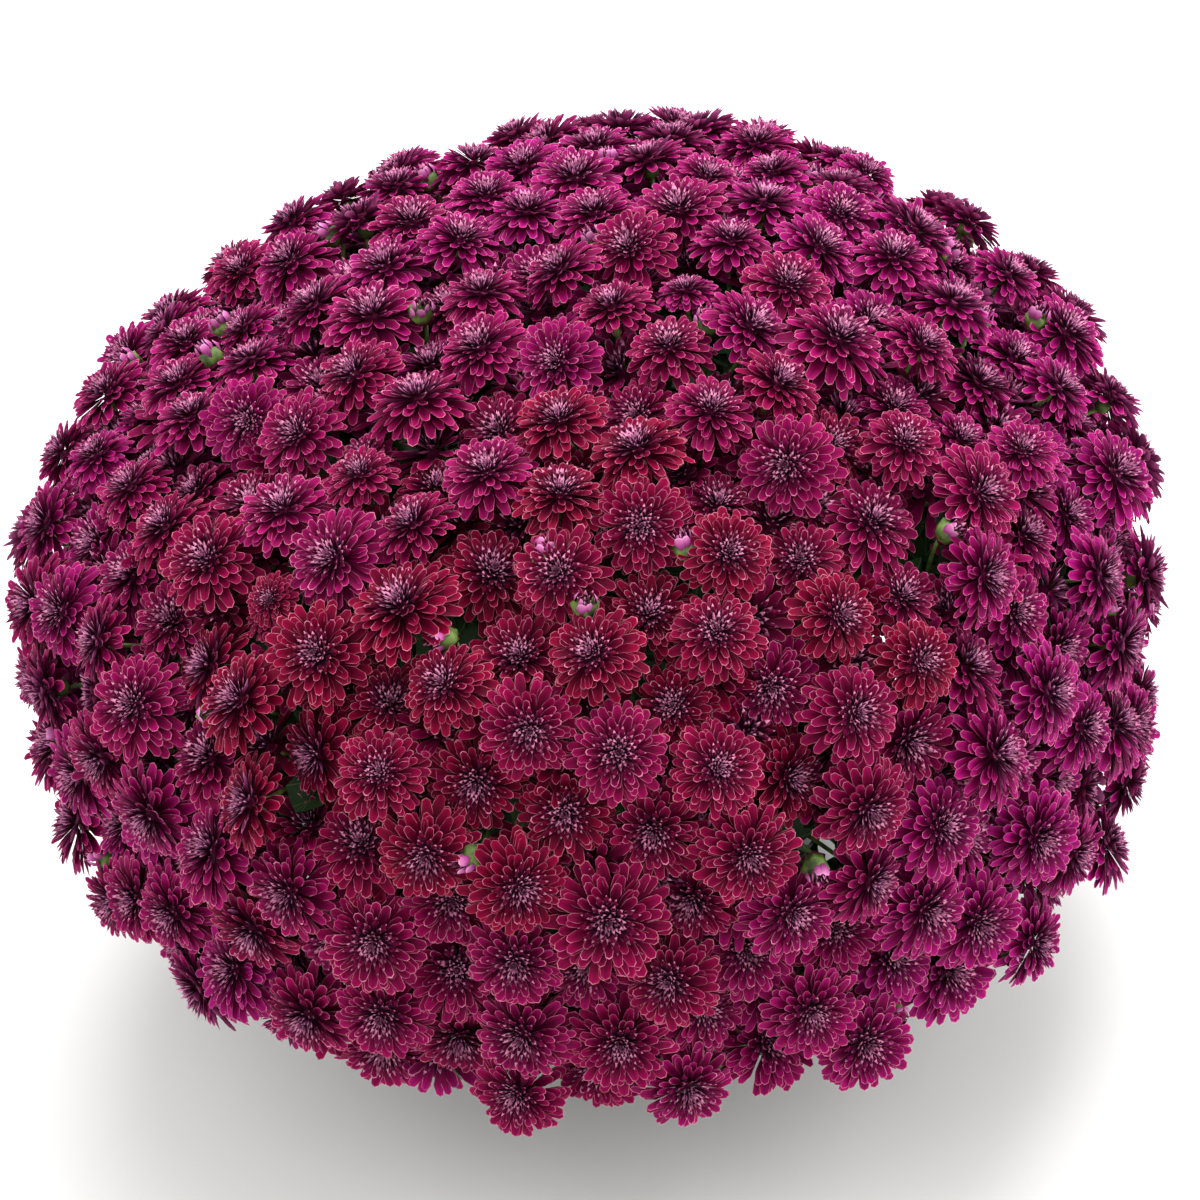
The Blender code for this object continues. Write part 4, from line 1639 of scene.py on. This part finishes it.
    def grow_leaves(self, stem: int, sprays: list[int], spots: list[Spot], models: list[bpy.types.Object],
                    draw: np.random.Generator) -> list[bpy.types.Object]:
        """Grow one large leaf on each branch and two under each bloom.

        Args:
            stem: The stem's index.
            sprays: The sprays that it bears.
            spots: The blooms that it bears.
            models: The leaves that are copied.
            draw: The seeded draws.

        Returns:
            The leaves.
        """
        leaves = []
        for index, spray in enumerate(sprays):
            end, _ = self.branch_end(spray)
            knee = self.branch_knee_of(stem, spray)
            along = unit(end - knee)
            side = about(along, self.leaf_first_turn + index * GOLDEN_ANGLE)
            place = placement(knee + self.leaf_place * (end - knee), along + self.leaf_spread * side, along)
            leaves.append(copy_of(models[index % len(models)], place))
        for index, spot in enumerate(spots * self.leaves_for_each):
            normal = self.planting.core.normal(spot.foot)
            side = about(normal, index * GOLDEN_ANGLE + draw.normal(0, self.leaf_turn_jitter))
            root = spot.foot - draw.uniform(*self.leaf_inset) * normal
            place = placement(root, side + self.leaf_rise * normal, normal, draw.uniform(*self.leaf_sizes))
            leaves.append(copy_of(models[draw.integers(len(models))], place))
        return leaves


@dataclass
class Pot:
    """The nursery pot, turned finely with rounded edges, whose drainage holes go through its floor."""

    height: float = 170 * MM
    top_radius: float = 120 * MM
    base_radius: float = 88 * MM
    wall: float = 2.5 * MM
    floor: float = 4 * MM
    rim_drop: float = 22 * MM
    rim_proud: float = 4 * MM
    rim_step: float = 2.5 * MM
    sides: int = 96
    drains: int = 6
    drain_sides: int = 32
    drain_radius: float = 7 * MM
    drain_pitch: float = 62 * MM
    corner_points: int = 4
    smooth_angle: float = math.radians(40)

    def radius_at(self, level: float) -> float:
        """The outer radius of the plain taper at a level."""
        return self.base_radius + (self.top_radius - self.base_radius) * level / self.height

    def outline(self) -> list[np.ndarray]:
        """Find the half section from the middle of the base, round the wall, to the middle of the floor.

        Returns:
            The points, with each corner rounded.
        """
        band = self.height - self.rim_drop
        top = self.top_radius + self.rim_proud
        # The radius and the level of each corner, and how far its rounding reaches
        corners = [
            (0, 0, 0), (self.base_radius, 0, 2.5 * MM),
            (self.radius_at(band - self.rim_step), band - self.rim_step, 1.5 * MM),
            (self.radius_at(band) + self.rim_proud, band, 1.2 * MM), (top, self.height, 2.5 * MM),
            (self.top_radius - self.wall, self.height, 1.0 * MM),
            (self.radius_at(self.floor) - self.wall, self.floor, 0), (0, self.floor, 0),
        ]
        points = [np.array([radius, 0, level]) for radius, level, _ in corners]
        line = [points[0]]
        for before, corner, after, (_, _, rounding) in zip(points, points[1:], points[2:], corners[1:]):
            if rounding == 0:
                line.append(corner)
                continue
            ends = [corner + rounding * unit(other - corner) for other in (before, after)]
            line.extend(bent([ends[0], corner, ends[1]], self.corner_points))
        return [*line, points[-1]]

    def build(self) -> bpy.types.Object:
        """Turn the outline about the pot's axis and cut the drainage holes.

        Returns:
            The pot.
        """
        outline = self.outline()
        pot = curve_mesh("nursery_pot", [(outline, [MM] * len(outline))])
        with edit_mode():
            bpy.ops.mesh.spin(steps=self.sides, angle=2 * math.pi, center=(0, 0, 0), axis=(0, 0, 1))
            bpy.ops.mesh.select_all(action="SELECT")
            bpy.ops.mesh.remove_doubles(threshold=TOUCHING)
            bpy.ops.mesh.normals_make_consistent(inside=False)
        self.cut_drains(pot)
        pot.data.materials.append(NurseryPot().material())
        activate(pot)
        bpy.ops.object.shade_smooth_by_angle(angle=self.smooth_angle)
        set_down(pot, "pot")
        return pot

    def cut_drains(self, pot: bpy.types.Object) -> None:
        """Cut the ring of round holes through the pot's floor.

        Args:
            pot: The turned pot.
        """
        cutters = []
        for index in range(self.drains):
            turn = 2 * math.pi * index / self.drains
            place = (self.drain_pitch * math.cos(turn), self.drain_pitch * math.sin(turn), 0)
            cutters.append(primitive(bpy.ops.mesh.primitive_cylinder_add, vertices=self.drain_sides,
                                     radius=self.drain_radius, depth=4 * self.floor, location=place))
        cutter = join(cutters, "drain_cutters")
        activate(pot)
        modifier = pot.modifiers.new("drains", "BOOLEAN")
        modifier.operation, modifier.solver, modifier.object = "DIFFERENCE", "EXACT", cutter
        bpy.ops.object.modifier_apply(modifier=modifier.name)
        discard([cutter])


@dataclass
class Soil:
    """The potting mix, whose CAD node stays and gets its real finish."""

    def dress(self) -> None:
        """Put the finish in the node's own material slots."""
        made = PottingMix().material()
        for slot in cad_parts["soil"].material_slots:
            slot.material = made
        LOG.info("soil: dressed as %s", made.name)


# Studio


@dataclass
class Studio:
    """Pale floor, soft light and the camera at the photograph's viewing angle.

    Each light has its name, its place, its side in metres and its power in watts.
    """

    aim: tuple[float, float, float] = (3.7 * MM, 0.0, 224.6 * MM)
    distance: float = 2200 * MM
    elevation: float = 36.0
    roll: float = -5.4
    lens: float = 133.3
    floor_size: float = 16.0
    room_light: float = 0.88
    lights: tuple[tuple[str, tuple[float, float, float], float, float], ...] = (
        ("key", (-0.7, -1.5, 2.5), 1.0, 8),
        ("left", (-2.0, -0.2, 1.5), 1.4, 15),
        ("right", (2.0, -0.6, 1.5), 1.4, 28),
        ("above", (0.3, 0.9, 2.4), 2.0, 72),
    )

    def build(self) -> None:
        """Set up the floor, the light and the camera."""
        self.add_floor()
        for light in self.lights:
            self.add_light(*light)
        self.add_world()
        self.add_camera()

    def add_floor(self) -> None:
        """Lay a plain pale floor, which isn't part of the object."""
        floor = primitive(bpy.ops.mesh.primitive_plane_add, StudioFloor().material(), size=self.floor_size)
        floor.name = "floor"

    def add_light(self, name: str, place: tuple[float, float, float], size: float, power: float) -> None:
        """Hang a square soft light that shines on the plant.

        Args:
            name: The light's name.
            place: Where it hangs.
            size: Its side.
            power: Its power in watts.
        """
        bpy.ops.object.light_add(type="AREA", location=place)
        light = bpy.context.object
        light.name = name
        light.data.size = size
        light.data.energy = power
        light.rotation_euler = (Vector(self.aim) - Vector(place)).to_track_quat("-Z", "Y").to_euler()

    def add_world(self) -> None:
        """Light the whole scene softly and evenly from a white room."""
        world = bpy.data.worlds.new("white_room")
        world.use_nodes = True
        feed(world.node_tree, world.node_tree.nodes["Background"],
             {"Color": "#FFFFFF", "Strength": self.room_light})
        bpy.context.scene.world = world
        bpy.context.scene.view_settings.view_transform = "Standard"

    def add_camera(self) -> None:
        """Place the camera in front, looking down on the dome."""
        tilt = math.radians(self.elevation)
        away = Vector((0, -math.cos(tilt), math.sin(tilt)))
        bpy.ops.object.camera_add(location=Vector(self.aim) + self.distance * away)
        camera = bpy.context.object
        camera.data.lens = self.lens
        level = (-away).to_track_quat("-Z", "Y")
        camera.rotation_euler = (level @ Quaternion((0, 0, 1), math.radians(self.roll))).to_euler()
        bpy.context.scene.camera = camera


def main() -> None:
    """Build the looks in order."""
    logging.basicConfig(level=logging.INFO, format="%(name)s: %(message)s")
    planting = Planting()
    Soil().dress()
    Pot().build()
    Greenery(planting).build()
    Sprays(planting).build()
    Studio().build()


if __name__ == "__main__":
    main()
